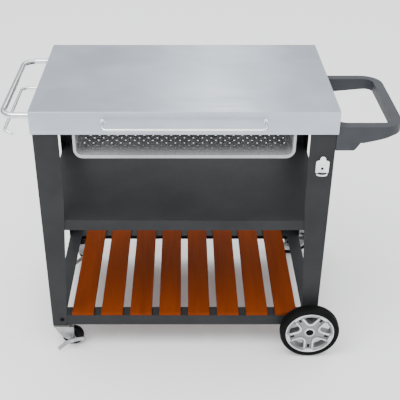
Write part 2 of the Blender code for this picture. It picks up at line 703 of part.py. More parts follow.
def build_lid():
    lift = pivot("lid_hinge", (0, HINGE_Y, HINGE_Z), ROOT)
    half_x, half_y = TOP_WIDTH / 2, TOP_DEPTH / 2
    lid = block("lid", (-half_x, -half_y, HEIGHT - APRON_HEIGHT), (half_x, half_y, HEIGHT), "stainless", lift)
    out = 0.02
    room = block("lid_room", (-half_x + LID_SHEET, -half_y + LID_SHEET, HEIGHT - APRON_HEIGHT - out),
                 (half_x - LID_SHEET, half_y - LID_SHEET, HEIGHT - LID_SHEET), parent=lift)
    low = block("lid_sides_cut", (-half_x - out, -half_y + LID_SHEET, HEIGHT - APRON_HEIGHT - out),
                (half_x + out, half_y + out, HEIGHT - LIP_HEIGHT), parent=lift)
    cut(lid, room, low)
    bevel(lid, 0.0006)
    end = LID_BAR_LENGTH / 2 - LID_BAR_ROD / 2
    foot_z, bar_z = HEIGHT - LID_BAR_FOOT_DROP, HEIGHT - LID_BAR_DROP
    # The rod leaves the apron at a slight slope, so its square end stands off by that much more
    foot_y = -half_y - GAP - LID_BAR_ROD / 2 * (foot_z - bar_z) / LID_BAR_STANDOFF
    path = [(-end, foot_y, foot_z), (-end, LID_BAR_Y, bar_z), (end, LID_BAR_Y, bar_z), (end, foot_y, foot_z)]
    tube("lid_bar", rounded(path, LID_BAR_BEND), LID_BAR_ROD, "chrome", lift)

    pitch = HINGE_LENGTH / KNUCKLE_COUNT
    bore = HINGE_PIN / 2 + RUNNING
    leaf_y = half_y + GAP
    lid_leaf = block("hinge_leaf_lid", (-HINGE_LENGTH / 2, leaf_y, HEIGHT - LIP_HEIGHT + 0.001),
                     (HINGE_LENGTH / 2, leaf_y + LEAF_SHEET, HEIGHT - 0.004), "stainless", lift)
    box_y = CORE_Y + GAP
    shelf_z = HINGE_Z - HINGE_KNUCKLE / 2
    box_leaf = block("hinge_leaf_box", (-HINGE_LENGTH / 2, box_y, HEIGHT - 0.046),
                     (HINGE_LENGTH / 2, box_y + LEAF_SHEET, shelf_z + LEAF_SHEET), "stainless")
    shelf = block("hinge_shelf", (-HINGE_LENGTH / 2, box_y, shelf_z),
                  (HINGE_LENGTH / 2, HINGE_Y, shelf_z + LEAF_SHEET))
    join(box_leaf, shelf)
    for i in range(KNUCKLE_COUNT):
        x = (i - KNUCKLE_COUNT / 2) * pitch
        low, high = x + 0.0005, x + pitch - 0.0005
        on_lid = i % 2 == 1
        knuckle = rod(f"knuckle_{i}", (low, HINGE_Y, HINGE_Z), (high, HINGE_Y, HINGE_Z), HINGE_KNUCKLE / 2,
                      parent=lift if on_lid else None, sides=16)
        if on_lid:
            web = block(f"knuckle_web_{i}", (low, leaf_y, HINGE_Z),
                        (high, leaf_y + LEAF_SHEET, HEIGHT - LIP_HEIGHT + 0.002),
                        parent=lift)
            join(lid_leaf, web, knuckle)
            room = block(f"leaf_room_{i}", (low - 0.0005, HINGE_Y - HINGE_KNUCKLE, shelf_z - 0.002),
                         (high + 0.0005, HINGE_Y + HINGE_KNUCKLE, HINGE_Z))
            cut(box_leaf, room)
        else:
            join(box_leaf, knuckle)
    cut(lid_leaf, rod("lid_leaf_bore", (-HINGE_LENGTH, HINGE_Y, HINGE_Z), (HINGE_LENGTH, HINGE_Y, HINGE_Z),
                      bore,
                      parent=lift, sides=16))
    # The pin is pressed into the box leaf's knuckles, so the two are one piece
    join(box_leaf, rod("hinge_pin", (-HINGE_LENGTH / 2 + 0.001, HINGE_Y, HINGE_Z),
                       (HINGE_LENGTH / 2 - 0.001, HINGE_Y, HINGE_Z),
                       HINGE_PIN / 2, sides=16))


# ---------------------------------------------------------------- tray

def build_tray():
    pull = pivot("tray_slide", (0, TRAY_FRONT, HEIGHT - TRAY_FLOOR_DROP), ROOT)
    half = TRAY_WIDTH / 2
    drop = TRAY_WALL_TOP - (HEIGHT - TRAY_FLOOR_DROP)
    side = [(-half - TRAY_FLANGE, 0, drop), (-half, 0, drop), (-half, 0, 0), (0, 0, 0)]
    left = rounded(side, [0, 0, TRAY_CORNER, 0])
    section = left[:-1] + [Vector((-p.x, 0, p.z)) for p in reversed(left[:-1])]
    bm = bmesh.new()
    verts = [bm.verts.new(p) for p in section]
    edges = [bm.edges.new(pair) for pair in zip(verts, verts[1:])]
    made = bmesh.ops.extrude_edge_only(bm, edges=edges)
    bmesh.ops.translate(bm, verts=[g for g in made["geom"] if isinstance(g, bmesh.types.BMVert)],
                        vec=(0, TRAY_DEPTH, 0))
    # The front edge is flanged outwards, deeper under the floor than beside the walls
    wall = [e for e in edges if all(abs(v.co.x) <= half + 0.0001 for v in e.verts)]
    made = bmesh.ops.extrude_edge_only(bm, edges=wall)
    for v in (g for g in made["geom"] if isinstance(g, bmesh.types.BMVert)):
        corner = Vector((max(-half + TRAY_CORNER, min(half - TRAY_CORNER, v.co.x)), 0,
                         max(TRAY_CORNER, v.co.z)))
        away = v.co - corner
        if away.length > 0.0001:
            v.co += away.normalized() * (TRAY_LIP if v.co.z < 0.0001 else TRAY_RIM)
    face_outwards(bm, (0, TRAY_DEPTH / 2, drop / 2))
    tray = add("perforated_tray", to_mesh(bm, "perforated_tray"), (0, TRAY_FRONT, HEIGHT - TRAY_FLOOR_DROP),
               "stainless", pull)
    thicken(tray, TRAY_SHEET)

    # Slides: channels hung from the box floor, open towards the tray
    slide_x = half + TRAY_FLANGE + 0.003
    front, back = BOX_FRONT + 0.002, TRAY_FRONT + TRAY_DEPTH
    section = ((-SLIDE_WIDTH + 0.003, -SLIDE_HEIGHT), (0, -SLIDE_HEIGHT), (0, 0), (-SLIDE_WIDTH, 0))
    for turn_side, place in ((-1, "left"), (1, "right")):
        turn = pi / 2 if turn_side < 0 else -pi / 2
        folded("tray_slide_" + place, section, back - front,
               (turn_side * slide_x, (front + back) / 2, BOX_FLOOR - GAP),
               "stainless", (-SLIDE_WIDTH / 2, -SLIDE_HEIGHT / 2), SLIDE_SHEET, turn=turn)


# ---------------------------------------------------------------- side fittings

def build_side_rail():
    x0, z = -(CORE_X + GAP), HEIGHT - SIDE_RAIL_DROP
    path = [(x0, SIDE_RAIL_BACK, z), (-SIDE_RAIL_REACH, SIDE_RAIL_BACK, z),
            (-SIDE_RAIL_REACH, SIDE_RAIL_FRONT, z), (x0, SIDE_RAIL_FRONT, z)]
    tube("side_rail", rounded(path, SIDE_RAIL_BEND, steps=8), SIDE_RAIL_TUBE, "chrome", resolution=4)
    z = HEIGHT - TOWEL_DROP
    corner = Vector((-TOWEL_REACH, TOWEL_FRONT, z))
    path = [(x0, TOWEL_BACK, z), (-TOWEL_REACH, TOWEL_BACK, z), corner, corner + TOWEL_HOOK]
    tube("towel_rod", rounded(path, [0, TOWEL_BEND, TOWEL_BEND / 2, 0]), TOWEL_ROD, "chrome")


def build_side_handle():
    top = HEIGHT - HANDLE_TOP_DROP
    front, back, reach = -LEG_Y, HANDLE_BACK, HANDLE_REACH
    root_front, root_back = LEG_X + GAP, CORE_X + GAP
    bar, flare = HANDLE_BAR, HANDLE_ROOT_BEND
    outline = [(root_front, front), (reach, front), (reach, back), (root_back, back),
               (root_back, back - bar - flare), (root_back + flare, back - bar), (reach - bar, back - bar),
               (reach - bar, front + bar), (root_front + flare, front + bar), (root_front,
                                                                               front + bar + flare)]
    radii = [0, HANDLE_OUTER_BEND, HANDLE_OUTER_BEND, 0, 0, flare / 2, HANDLE_INNER_BEND, HANDLE_INNER_BEND,
             flare / 2, 0]
    points = rounded([(x, y, 0) for x, y in outline], radii, closed=True)
    handle = plate("side_handle", points, HANDLE_FRONT_HEIGHT, (0, 0, top - HANDLE_FRONT_HEIGHT / 2),
                   "handle_plastic", edge=HANDLE_EDGE)
    # The underside rises towards the back arm
    rise = HANDLE_FRONT_HEIGHT - HANDLE_BACK_HEIGHT
    run = back - front - 2 * bar
    slope = atan2(rise, run)
    low = top - HANDLE_FRONT_HEIGHT
    depth, span = 0.05, 0.6
    middle = Vector((reach - 0.1, front + bar + cos(slope) * span / 2 + sin(slope) * depth / 2,
                     low + sin(slope) * span / 2 - cos(slope) * depth / 2))
    size = Vector((0.5, span, depth)) / 2
    under = block("handle_underside", middle - size, middle + size, rotation=(slope, 0, 0))
    cut(handle, under)
    foot = HEIGHT - BRACKET_DROP
    wide = root_front + BRACKET_WIDTH
    shape = [(root_front, top - 0.010), (root_front, foot), (wide, foot), (wide + 0.030, low),
             (wide + 0.030, top - 0.010)]
    bracket = plate("handle_bracket", shape, bar - 0.004, (0, front + bar / 2, 0), rotation=(pi / 2, 0, 0))
    join(handle, bracket)


def build_bottle_opener():
    width, sheet, height = OPENER_SIZE
    face = -(LEG_Y + GAP)
    top = HEIGHT - OPENER_DROP
    low = top - height
    half = width / 2
    tab = [(OPENER_TAB * cos(a), OPENER_TAB * 1.2 + OPENER_TAB * sin(a)) for a in
           [pi * k / 8 for k in range(9)]]
    shape = [(-half, -height), (half, -height), (half, 0)] + [(OPENER_TAB, 0)] + tab + [(-OPENER_TAB, 0),
                                                                                        (-half, 0)]
    body = plate("bottle_opener", shape, sheet, (OPENER_X, face - sheet / 2, top), "chrome",
                 rotation=(pi / 2, 0, 0))
    lip = block("opener_lip", (OPENER_X - half + 0.001, face - OPENER_LIP, low - 0.004),
                (OPENER_X + half - 0.001, face, low + sheet))
    hood = block("opener_hood", (OPENER_X - half + 0.004, face - OPENER_LIP * 0.8, low + 0.016),
                 (OPENER_X + half - 0.004, face - 0.001, low + 0.016 + sheet))
    join(body, lip, hood)


# ---------------------------------------------------------------- wheels and casters

def build_main_wheels():
    rod("axle", (WHEEL_X, -AXLE_END, AXLE_Z), (WHEEL_X, AXLE_END, AXLE_Z),
        AXLE_DIAMETER / 2, "zinc")
    bore = AXLE_DIAMETER / 2 + RUNNING
    wide, round_off = WHEEL_WIDTH / 2, 0.007
    for end, place in ((-1, "front"), (1, "back")):
        centre = (WHEEL_X, end * (WHEEL_OUT - wide), AXLE_Z)
        spin = pivot(f"wheel_{place}_spin", centre, ROOT)
        lay = (pi / 2, 0, 0) if end < 0 else (-pi / 2, 0, 0)
        # Local +Z points away from the cart
        tyre = [(RIM_RADIUS + GAP, wide - 0.002), (WHEEL_RADIUS - round_off, wide),
                (WHEEL_RADIUS - 0.002, wide - 0.005),
                (WHEEL_RADIUS, wide - 0.011), (WHEEL_RADIUS, -wide + 0.011), (WHEEL_RADIUS - 0.002,
                                                                              -wide + 0.005),
                (WHEEL_RADIUS - round_off, -wide), (RIM_RADIUS + GAP, -wide + 0.002)]
        turned(f"wheel_{place}_tyre", tyre, centre, "tyre", spin, lay, steps=48)
        rim = [(RIM_RADIUS, wide - 0.003), (RIM_RADIUS, -wide + 0.003), (RIM_RADIUS - 0.004, -wide + 0.003),
               (RIM_RADIUS - 0.007, wide - 0.003)]
        hub = turned(f"wheel_{place}_hub", rim, centre, "stainless", spin, lay, steps=48)
        boss = turned(f"hub_boss_{place}", [(bore, wide - 0.004), (HUB_BOSS, wide - 0.006),
                                            (HUB_BOSS, -wide + 0.004),
                                             (bore, -wide + 0.004)], centre, None, spin, lay, steps=24)
        bm = bmesh.new()
        for k in range(SPOKE_COUNT):
            made = bmesh.ops.create_cube(bm, size=1.0)["verts"]
            bmesh.ops.scale(bm, vec=(RIM_RADIUS - HUB_BOSS, SPOKE_WIDTH, 0.010), verts=made)
            bmesh.ops.translate(bm, vec=((RIM_RADIUS + HUB_BOSS) / 2 - 0.003, 0, wide - 0.012), verts=made)
            angle = 2 * pi * k / SPOKE_COUNT + pi / 2
            bmesh.ops.rotate(bm, cent=(0, 0, 0), matrix=Matrix.Rotation(angle, 3, "Z"), verts=made)
        spokes = add(f"hub_spokes_{place}", to_mesh(bm, "spokes"), centre, None, spin, lay)
        join(hub, boss, spokes)


def cheek_outline(pin):
    """Side of the yoke: a shield that covers the inner half of the wheel and ends round the pin."""
    leading = [(-0.024, 0), (-0.023, -0.006), (-0.0185, -0.017), (-0.0123, -0.027), (-0.004, -0.039),
               (0.0064, -0.0485), (0.016, -0.0545)]
    angles = [-1.9 + 0.3 * k for k in range(7)]
    round_pin = [(pin.x + FORK_HUB * cos(a), pin.y + FORK_HUB * sin(a)) for a in angles]
    return leading + round_pin + [(FORK_FRONT, -0.034), (FORK_FRONT, 0)]


def build_fork(place, x, y, top, wheel_x, wheel_z, parent):
    """Pressed yoke: a round head under the race, a bridge over the wheel, two cheeks and the pin."""
    inner = CASTER_WHEEL_WIDTH / 2 + FORK_GAP
    outer = inner + FORK_SHEET
    low = top - FORK_HEAD
    fork = rod(f"caster_fork_{place}", (x, y, low), (x, y, top), RACE_RADIUS + 0.002, "zinc", parent)
    bridge = block(f"fork_bridge_{place}", (x - 0.020, y - outer, low), (x + FORK_FRONT, y + outer, top),
                   parent=parent)
    sunk = 0.0005
    outline = cheek_outline(Vector((wheel_x - x, wheel_z - top + sunk)))
    cheeks = [plate(f"fork_cheek_{place}_{side}", outline, FORK_SHEET,
                    (x, y + side * (inner + outer) / 2, top - sunk), parent=parent, rotation=(pi / 2, 0, 0))
              for side in (-1, 1)]
    near, far = y - outer - BRAKE_STANDOFF - BRAKE_SHEET - 0.002, y + outer + 0.001
    pin = rod(f"caster_pin_{place}", (wheel_x, near, wheel_z), (wheel_x, far, wheel_z), CASTER_PIN / 2,
              parent=parent, sides=16)
    join(fork, bridge, *cheeks, pin)
    return y - outer - GAP


def build_rocker(place, wheel_x, near, wheel_z, parent):
    """Brake pedal: a strip that stands ahead of the yoke on a boss, with a tread at either end."""
    middle = BRAKE_STANDOFF
    bend = [(-BRAKE_REACH, -0.040), (-0.024, -middle - 0.004), (-0.012, -middle), (0.012, -middle),
            (0.024, -middle - 0.001), (BRAKE_REACH, -middle - 0.006)]
    bm = bmesh.new()
    verts = [bm.verts.new((u, n, -BRAKE_WIDTH / 2)) for u, n in bend]
    edges = [bm.edges.new(pair) for pair in zip(verts, verts[1:])]
    made = bmesh.ops.extrude_edge_only(bm, edges=edges)
    bmesh.ops.translate(bm, verts=[g for g in made["geom"] if isinstance(g, bmesh.types.BMVert)],
                        vec=(0, 0, BRAKE_WIDTH))
    face_outwards(bm, (0, -0.1, 0))
    rocker = add(f"caster_brake_{place}", to_mesh(bm, "rocker"), (wheel_x, near, wheel_z), "chrome", parent,
                 (0, -BRAKE_TILT, 0))
    thicken(rocker, BRAKE_SHEET)
    join(rocker, rod(f"rocker_boss_{place}", (wheel_x, near - middle - 0.001, wheel_z),
                     (wheel_x, near, wheel_z),
                     BRAKE_BOSS, parent=parent, sides=20))
    cut(rocker, rod(f"rocker_bore_{place}", (wheel_x, near - 0.04, wheel_z), (wheel_x, near + 0.01, wheel_z),
                    CASTER_PIN / 2 + RUNNING, parent=parent, sides=16))


def build_casters():
    race_low = CASTER_HEIGHT - CASTER_PLATE_SHEET - RACE_DROP
    fork_top = race_low - GAP
    half = CASTER_PLATE / 2
    bore = CASTER_PIN / 2 + RUNNING
    w, r = CASTER_WHEEL_WIDTH / 2, CASTER_WHEEL_RADIUS
    shoulder = [(r - 0.005, w), (r - 0.001, w - 0.003), (r, w - 0.007)]
    profile = [(bore, w)] + shoulder + [(a, -b) for a, b in reversed(shoulder)] + [(bore, -w)]
    for end, place in ((-1, "front"), (1, "back")):
        x, y = -CASTER_X, end * CASTER_Y
        wheel_x, wheel_z = x + CASTER_TRAIL, CASTER_WHEEL_RADIUS
        mount = block(f"caster_plate_{place}", (x - half, y - half, CASTER_HEIGHT - CASTER_PLATE_SHEET),
                      (x + half, y + half, CASTER_HEIGHT), "zinc")
        join(mount, rod(f"caster_race_{place}", (x, y, race_low), (x, y, CASTER_HEIGHT - 0.001), RACE_RADIUS))
        swivel = pivot(f"caster_{place}_swivel", (x, y, fork_top), ROOT)
        near = build_fork(place, x, y, fork_top, wheel_x, wheel_z, swivel)
        spin = pivot(f"caster_{place}_spin", (wheel_x, y, wheel_z), swivel)
        turned(f"caster_wheel_{place}", profile, (wheel_x, y, wheel_z), "black_plastic", spin, (pi / 2, 0, 0),
               steps=32)
        rock = pivot(f"caster_{place}_brake", (wheel_x, near + GAP, wheel_z), swivel)
        build_rocker(place, wheel_x, near, wheel_z, rock)


build_frame()
build_burner_box()
build_grease_cup()
build_griddle_plate()
build_control_panel()
build_gas_train()
build_lid()
build_tray()
build_side_rail()
build_side_handle()
build_bottle_opener()
build_main_wheels()
build_casters()
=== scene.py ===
"""Looks of a flat top griddle cart: a stainless lid over a griddle plate, on a dark frame with a
perforated pull-out tray, a sheet shelf, a slatted wood shelf, two spoked wheels and two casters."""
from math import asin, atan2, cos, degrees, pi, radians, sin, tan

import bmesh
import bpy
from mathutils import Matrix, Vector


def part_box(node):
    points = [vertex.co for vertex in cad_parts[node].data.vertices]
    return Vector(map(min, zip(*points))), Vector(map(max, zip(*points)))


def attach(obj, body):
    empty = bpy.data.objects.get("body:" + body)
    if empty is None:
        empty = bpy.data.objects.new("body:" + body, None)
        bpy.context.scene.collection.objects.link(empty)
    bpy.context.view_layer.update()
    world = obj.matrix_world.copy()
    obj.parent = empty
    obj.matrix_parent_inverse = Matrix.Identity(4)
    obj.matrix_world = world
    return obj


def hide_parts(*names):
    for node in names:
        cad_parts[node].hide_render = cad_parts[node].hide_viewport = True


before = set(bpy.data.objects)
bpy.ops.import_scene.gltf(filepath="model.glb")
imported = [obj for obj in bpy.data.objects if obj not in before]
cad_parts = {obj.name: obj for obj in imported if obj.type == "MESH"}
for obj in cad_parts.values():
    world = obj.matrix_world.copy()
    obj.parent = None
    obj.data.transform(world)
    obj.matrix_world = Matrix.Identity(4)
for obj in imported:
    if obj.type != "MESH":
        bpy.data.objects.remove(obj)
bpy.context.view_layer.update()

bl_info = {
    "name": "Flat Top Griddle Cart",
    "version": (1, 0, 0),
    "blender": (4, 5, 0),
    "location": "View3D > Sidebar > Griddle",
    "description": "Models and finishes the pieces of a flat top griddle cart around its packed frame",
    "category": "Object",
}

SIDES = ("left", "right")
ENDS = (("front", -1), ("back", 1))


# ---------------------------------------------------------------- measuring the frame

def low_high(*nodes):
    """Lowest and highest corner of several nodes together."""
    boxes = [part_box(node) for node in nodes]
    low = Vector(min(box[0][i] for box in boxes) for i in range(3))
    high = Vector(max(box[1][i] for box in boxes) for i in range(3))
    return low, high


def middle(*nodes):
    low, high = low_high(*nodes)
    return (low + high) / 2


TABLE_X = middle("lid").x               # centre of the cart, left to right
TABLE_Y = (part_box("leg_left_front")[0].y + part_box("leg_left_back")[1].y) / 2
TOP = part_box("lid")[1].z


# ---------------------------------------------------------------- settings

def colour(name, value, description):
    return bpy.props.FloatVectorProperty(name=name, description=description, default=value, size=3,
                                         min=0.0, max=1.0, subtype="COLOR")


def length(name, value, description):
    return bpy.props.FloatProperty(name=name, description=description, default=value, min=0.0,
                                   unit="LENGTH")


class GriddleColours(bpy.types.PropertyGroup):
    """Base colours of the finishes, as linear values."""
    stainless: colour("Stainless", (0.48, 0.52, 0.58), "Brushed sheet of the lid")
    stainless_shade: colour("Stainless shade", (0.40, 0.435, 0.49), "Darker clouds in the brushed sheet")
    coat: colour("Powder coat", (0.019, 0.020, 0.022), "Legs, rails and shelf")
    wood: colour("Slat wood", (0.160, 0.0255, 0.0009), "Stain of the slats")
    wood_dark: colour("Slat grain", (0.125, 0.019, 0.0007), "Dark grain of the slats")
    moulding: colour("Handle moulding", (0.034, 0.037, 0.043), "Side handle")
    rubber: colour("Rubber", (0.0018, 0.0018, 0.0020), "Tyres")
    plate: colour("Griddle plate", (0.050, 0.046, 0.043), "Seasoned cooking steel")


class GriddleSizes(bpy.types.PropertyGroup):
    """Sizes of the details that the frame does not fix."""
    fold_radius: length("Fold radius", 0.0028, "Outside radius of the bends in the dark sheet parts")
    cut_edge: length("Cut edge", 0.0004, "Rounding on the cut edges of sheet")
    hole: length("Tray hole", 0.0058, "Diameter of the tray's holes")
    hole_pitch: length("Hole pitch", 0.0173, "Distance between rows of holes")
    column_pitch: length("Column pitch", 0.0141, "Distance between columns of holes")
    spoke_width: length("Spoke width", 0.033, "Width of a wheel spoke over its two ribs")
    cap: length("Wheel cap", 0.0245, "Diameter of the cap over the axle's end")
    screw: length("Screw head", 0.011, "Diameter of the frame's screw heads")
    key_light: bpy.props.FloatProperty(name="Key light",
                                       description="Power of the large soft light overhead", default=70.0,
                                       min=0.0, unit="POWER")


# ---------------------------------------------------------------- meshes

def rounded(points, radii, steps=6, closed=False):
    """A polyline whose corners are replaced by arcs of the given radii."""
    points = [Vector(p) for p in points]
    if not isinstance(radii, (list, tuple)):
        radii = [radii] * len(points)
    out = []
    for k, (point, radius) in enumerate(zip(points, radii)):
        if radius <= 0 or (not closed and k in (0, len(points) - 1)):
            out.append(point)
            continue
        before = (points[k - 1] - point).normalized()
        after = (points[(k + 1) % len(points)] - point).normalized()
        half = before.angle(after) / 2
        centre = point + (before + after).normalized() * radius / sin(half)
        start = point + before * radius / tan(half) - centre
        end = point + after * radius / tan(half) - centre
        for i in range(steps + 1):
            t = i / steps
            out.append(centre + start.normalized().slerp(end.normalized(), t) * radius)
    return out


def place(bm, at=(0, 0, 0), turn=None):
    """Turns a whole bmesh by an Euler angle in degrees, then moves it."""
    if turn:
        for axis, angle in zip("XYZ", turn):
            bmesh.ops.rotate(bm, verts=bm.verts, cent=(0, 0, 0), matrix=Matrix.Rotation(radians(angle), 3,
                                                                                        axis))
    bmesh.ops.translate(bm, verts=bm.verts, vec=at)
    return bm


def joined(*parts):
    """Several bmeshes as one; the parts are used up."""
    whole = bmesh.new()
    for part in parts:
        data = bpy.data.meshes.new("part")
        part.to_mesh(data)
        part.free()
        whole.from_mesh(data)
        bpy.data.meshes.remove(data)
    return whole


def cleaned(bm, gap=1e-6):
    """Closes seams and poles, and turns every face outwards."""
    bmesh.ops.remove_doubles(bm, verts=bm.verts, dist=gap)
    bmesh.ops.recalc_face_normals(bm, faces=bm.faces)
    return bm


def bevelled(bm, edges, width, segments=2):
    if edges:
        bmesh.ops.bevel(bm, geom=edges, offset=width, offset_type="OFFSET", segments=segments, profile=0.5,
                        affect="EDGES", material=-1, clamp_overlap=True)
    return bm


def sharp_edges(bm, angle=35):
    return [e for e in bm.edges if e.is_manifold and e.calc_face_angle(0.0) > radians(angle)]


def block(size, edge=0.0005, segments=2):
    """A box with rounded edges, centred on the origin."""
    bm = bmesh.new()
    bmesh.ops.create_cube(bm, size=1.0)
    bmesh.ops.scale(bm, verts=bm.verts, vec=size)
    return bevelled(bm, list(bm.edges), edge, segments)


def lathe(profile, steps=64, closed=False):
    """Spins (radius, height) points about Z."""
    bm = bmesh.new()
    verts = [bm.verts.new((r, 0, h)) for r, h in profile]
    edges = [bm.edges.new(pair) for pair in zip(verts, verts[1:])]
    if closed:
        edges.append(bm.edges.new((verts[-1], verts[0])))
    bmesh.ops.spin(bm, geom=verts + edges, cent=(0, 0, 0), axis=(0, 0, 1), angle=2 * pi, steps=steps,
                   use_merge=True)
    return cleaned(bm)


def plate(outline, thickness, edge=0.0005, segments=2, sharp=30):
    """A flat outline in XY given its thickness about Z = 0, with rounded edges."""
    bm = bmesh.new()
    face = bm.faces.new([bm.verts.new((p[0], p[1], -thickness / 2)) for p in outline])
    made = bmesh.ops.extrude_face_region(bm, geom=[face], use_keep_orig=True)
    top = [g for g in made["geom"] if isinstance(g, bmesh.types.BMVert)]
    bmesh.ops.translate(bm, verts=top, vec=(0, 0, thickness))
    cleaned(bm)
    return bevelled(bm, sharp_edges(bm, sharp), edge, segments) if edge else bm


def bar(points, radius, sides=16, caps=True, closed=False):
    """A round bar along a path."""
    curve = bpy.data.curves.new("bar", "CURVE")
    curve.dimensions = "3D"
    curve.bevel_depth = radius
    curve.bevel_resolution = sides // 4
    curve.use_fill_caps = caps
    spline = curve.splines.new("POLY")
    spline.points.add(len(points) - 1)
    for knot, point in zip(spline.points, points):
        knot.co = (*point, 1.0)
    spline.use_cyclic_u = closed
    obj = bpy.data.objects.new("bar", curve)
    data = bpy.data.meshes.new_from_object(obj)
    bm = bmesh.new()
    bm.from_mesh(data)
    bpy.data.objects.remove(obj)
    bpy.data.curves.remove(curve)
    bpy.data.meshes.remove(data)
    return cleaned(bm)


def copied(node):
    """A CAD node's mesh, its doubles merged and its flat faces joined."""
    bm = bmesh.new()
    bm.from_mesh(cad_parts[node].data)
    bmesh.ops.remove_doubles(bm, verts=bm.verts, dist=0.00002)
    bmesh.ops.dissolve_limit(bm, angle_limit=radians(0.8), verts=bm.verts, edges=bm.edges)
    return bm


def is_bend(edge, wide=0.005, long=0.025):
    """True for the edge of a fold, which has a wide face on both sides."""
    span = edge.calc_length()
    return (edge.is_manifold and span > long and edge.calc_face_angle(0.0) > radians(40)
            and all(face.calc_area() / span > wide for face in edge.link_faces))


def softened(node, sheet=0.002, fold=None, edge=None):
    """A CAD node with its bends rounded to the fold radius and its cut edges eased."""
    sizes = bpy.context.scene.griddle_sizes
    fold = sizes.fold_radius if fold is None else fold
    edge = sizes.cut_edge if edge is None else edge
    bm = copied(node)
    if fold > sheet:
        for outside, radius in ((True, fold), (False, fold - sheet)):
            bevelled(bm, [e for e in bm.edges if is_bend(e) and e.is_convex == outside], radius, 4)
    return bevelled(bm, sharp_edges(bm), edge, 2)


def piece(bm, name, finish, body, slot, *nodes, sharp=35):
    """Ends a bmesh as a piece on its CAD body, in the place of the CAD nodes it stands for."""
    for face in bm.faces:
        face.smooth = True
    for edge in bm.edges:
        edge.smooth = edge.is_manifold and edge.calc_face_angle(0.0) < radians(sharp)
    data = bpy.data.meshes.new(name)
    bm.to_mesh(data)
    bm.free()
    data.materials.append(bpy.data.materials[finish])
    obj = bpy.data.objects.new(name, data)
    bpy.context.scene.collection.objects.link(obj)
    even = obj.modifiers.new("even normals", "WEIGHTED_NORMAL")
    even.keep_sharp = True
    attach(obj, body)
    if nodes:
        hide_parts(*nodes)
    return obj


def screws(places, direction, finish, name, body, slot, diameter=None, domed=True):
    """Pan-head or button screws at several places, their heads standing out in one direction."""
    radius = (diameter or bpy.context.scene.griddle_sizes.screw) / 2
    tall = radius * 0.55
    heads = []
    turn = Vector((0, 0, 1)).rotation_difference(Vector(direction)).to_matrix()
    socket, deep = radius * 0.42, tall * 0.55
    for at in places:
        profile = [(0, tall - deep), (socket, tall - deep), (socket, tall * 0.98),
                   (radius * 0.62, tall * 0.94), (radius * 0.88, tall * 0.6), (radius, tall * 0.12),
                   (radius, -0.0003), (0, -0.0003)]
        if not domed:
            profile[3:5] = [(radius * 0.9, tall * 0.98), (radius, tall * 0.85)]
        head = lathe(profile, 18)
        bmesh.ops.rotate(head, verts=head.verts, cent=(0, 0, 0), matrix=turn)
        heads.append(place(head, at))
    return piece(joined(*heads), name, finish, body, slot)


# ---------------------------------------------------------------- finishes

class Finish:
    """A node material in the making. Patterns are placed on Object coordinates."""

    def __init__(self, name, colour, roughness, metallic=0.0, specular=0.5):
        self.material = bpy.data.materials.new(name)
        self.material.use_nodes = True
        self.tree = self.material.node_tree
        self.shader = self.tree.nodes["Principled BSDF"]
        self.shader.inputs["Base Color"].default_value = (*colour, 1.0)
        self.shader.inputs["Roughness"].default_value = roughness
        self.shader.inputs["Metallic"].default_value = metallic
        self.shader.inputs["Specular IOR Level"].default_value = specular
        self.place = self.node("ShaderNodeTexCoord").outputs["Object"]
        self.relief = None

    def node(self, kind, **inputs):
        made = self.tree.nodes.new(kind)
        for socket, value in inputs.items():
            self.join(value, made.inputs[socket.replace("_", " ")])
        return made

    def join(self, value, socket):
        """Links an output to a socket, or sets the socket to a plain value."""
        if isinstance(value, bpy.types.NodeSocket):
            self.tree.links.new(value, socket)
        else:
            socket.default_value = value

    def stretched(self, scale, turn=(0, 0, 0)):
        """Object coordinates drawn out along one axis, for brush lines and grain."""
        return self.node("ShaderNodeMapping", Vector=self.place, Scale=scale,
                         Rotation=[radians(a) for a in turn]).outputs["Vector"]

    def noise(self, scale, detail=2.0, roughness=0.5, vector=None, distortion=0.0):
        return self.node("ShaderNodeTexNoise", Vector=vector or self.place, Scale=scale, Detail=detail,
                         Roughness=roughness, Distortion=distortion).outputs["Fac"]

    def cells(self, scale, vector=None):
        return self.node("ShaderNodeTexVoronoi", Vector=vector or self.place,
                         Scale=scale).outputs["Distance"]

    def between(self, value, low, high, start=0.35, end=0.65):
        """Maps a pattern's value onto a range."""
        made = self.node("ShaderNodeMapRange", Value=value)
        for socket, number in (("From Min", start), ("From Max", end), ("To Min", low), ("To Max", high)):
            made.inputs[socket].default_value = number
        return made.outputs["Result"]

    def mixed(self, share, first, second):
        made = self.tree.nodes.new("ShaderNodeMix")
        made.data_type = "RGBA"
        self.join(share, made.inputs["Factor"])
        for socket, value in (("A", first), ("B", second)):
            target = next(s for s in made.inputs if s.name == socket and s.type == "RGBA")
            self.join((*value, 1.0) if isinstance(value, tuple) else value, target)
        return next(s for s in made.outputs if s.type == "RGBA")

    def bump(self, height, depth, strength=1.0):
        """Adds relief; depth is the height of the pattern in metres."""
        made = self.node("ShaderNodeBump", Height=height, Distance=depth, Strength=strength)
        if self.relief:
            self.tree.links.new(self.relief, made.inputs["Normal"])
        self.relief = made.outputs["Normal"]
        self.tree.links.new(self.relief, self.shader.inputs["Normal"])

    def paint(self, socket, value):
        self.join(value, self.shader.inputs[socket])


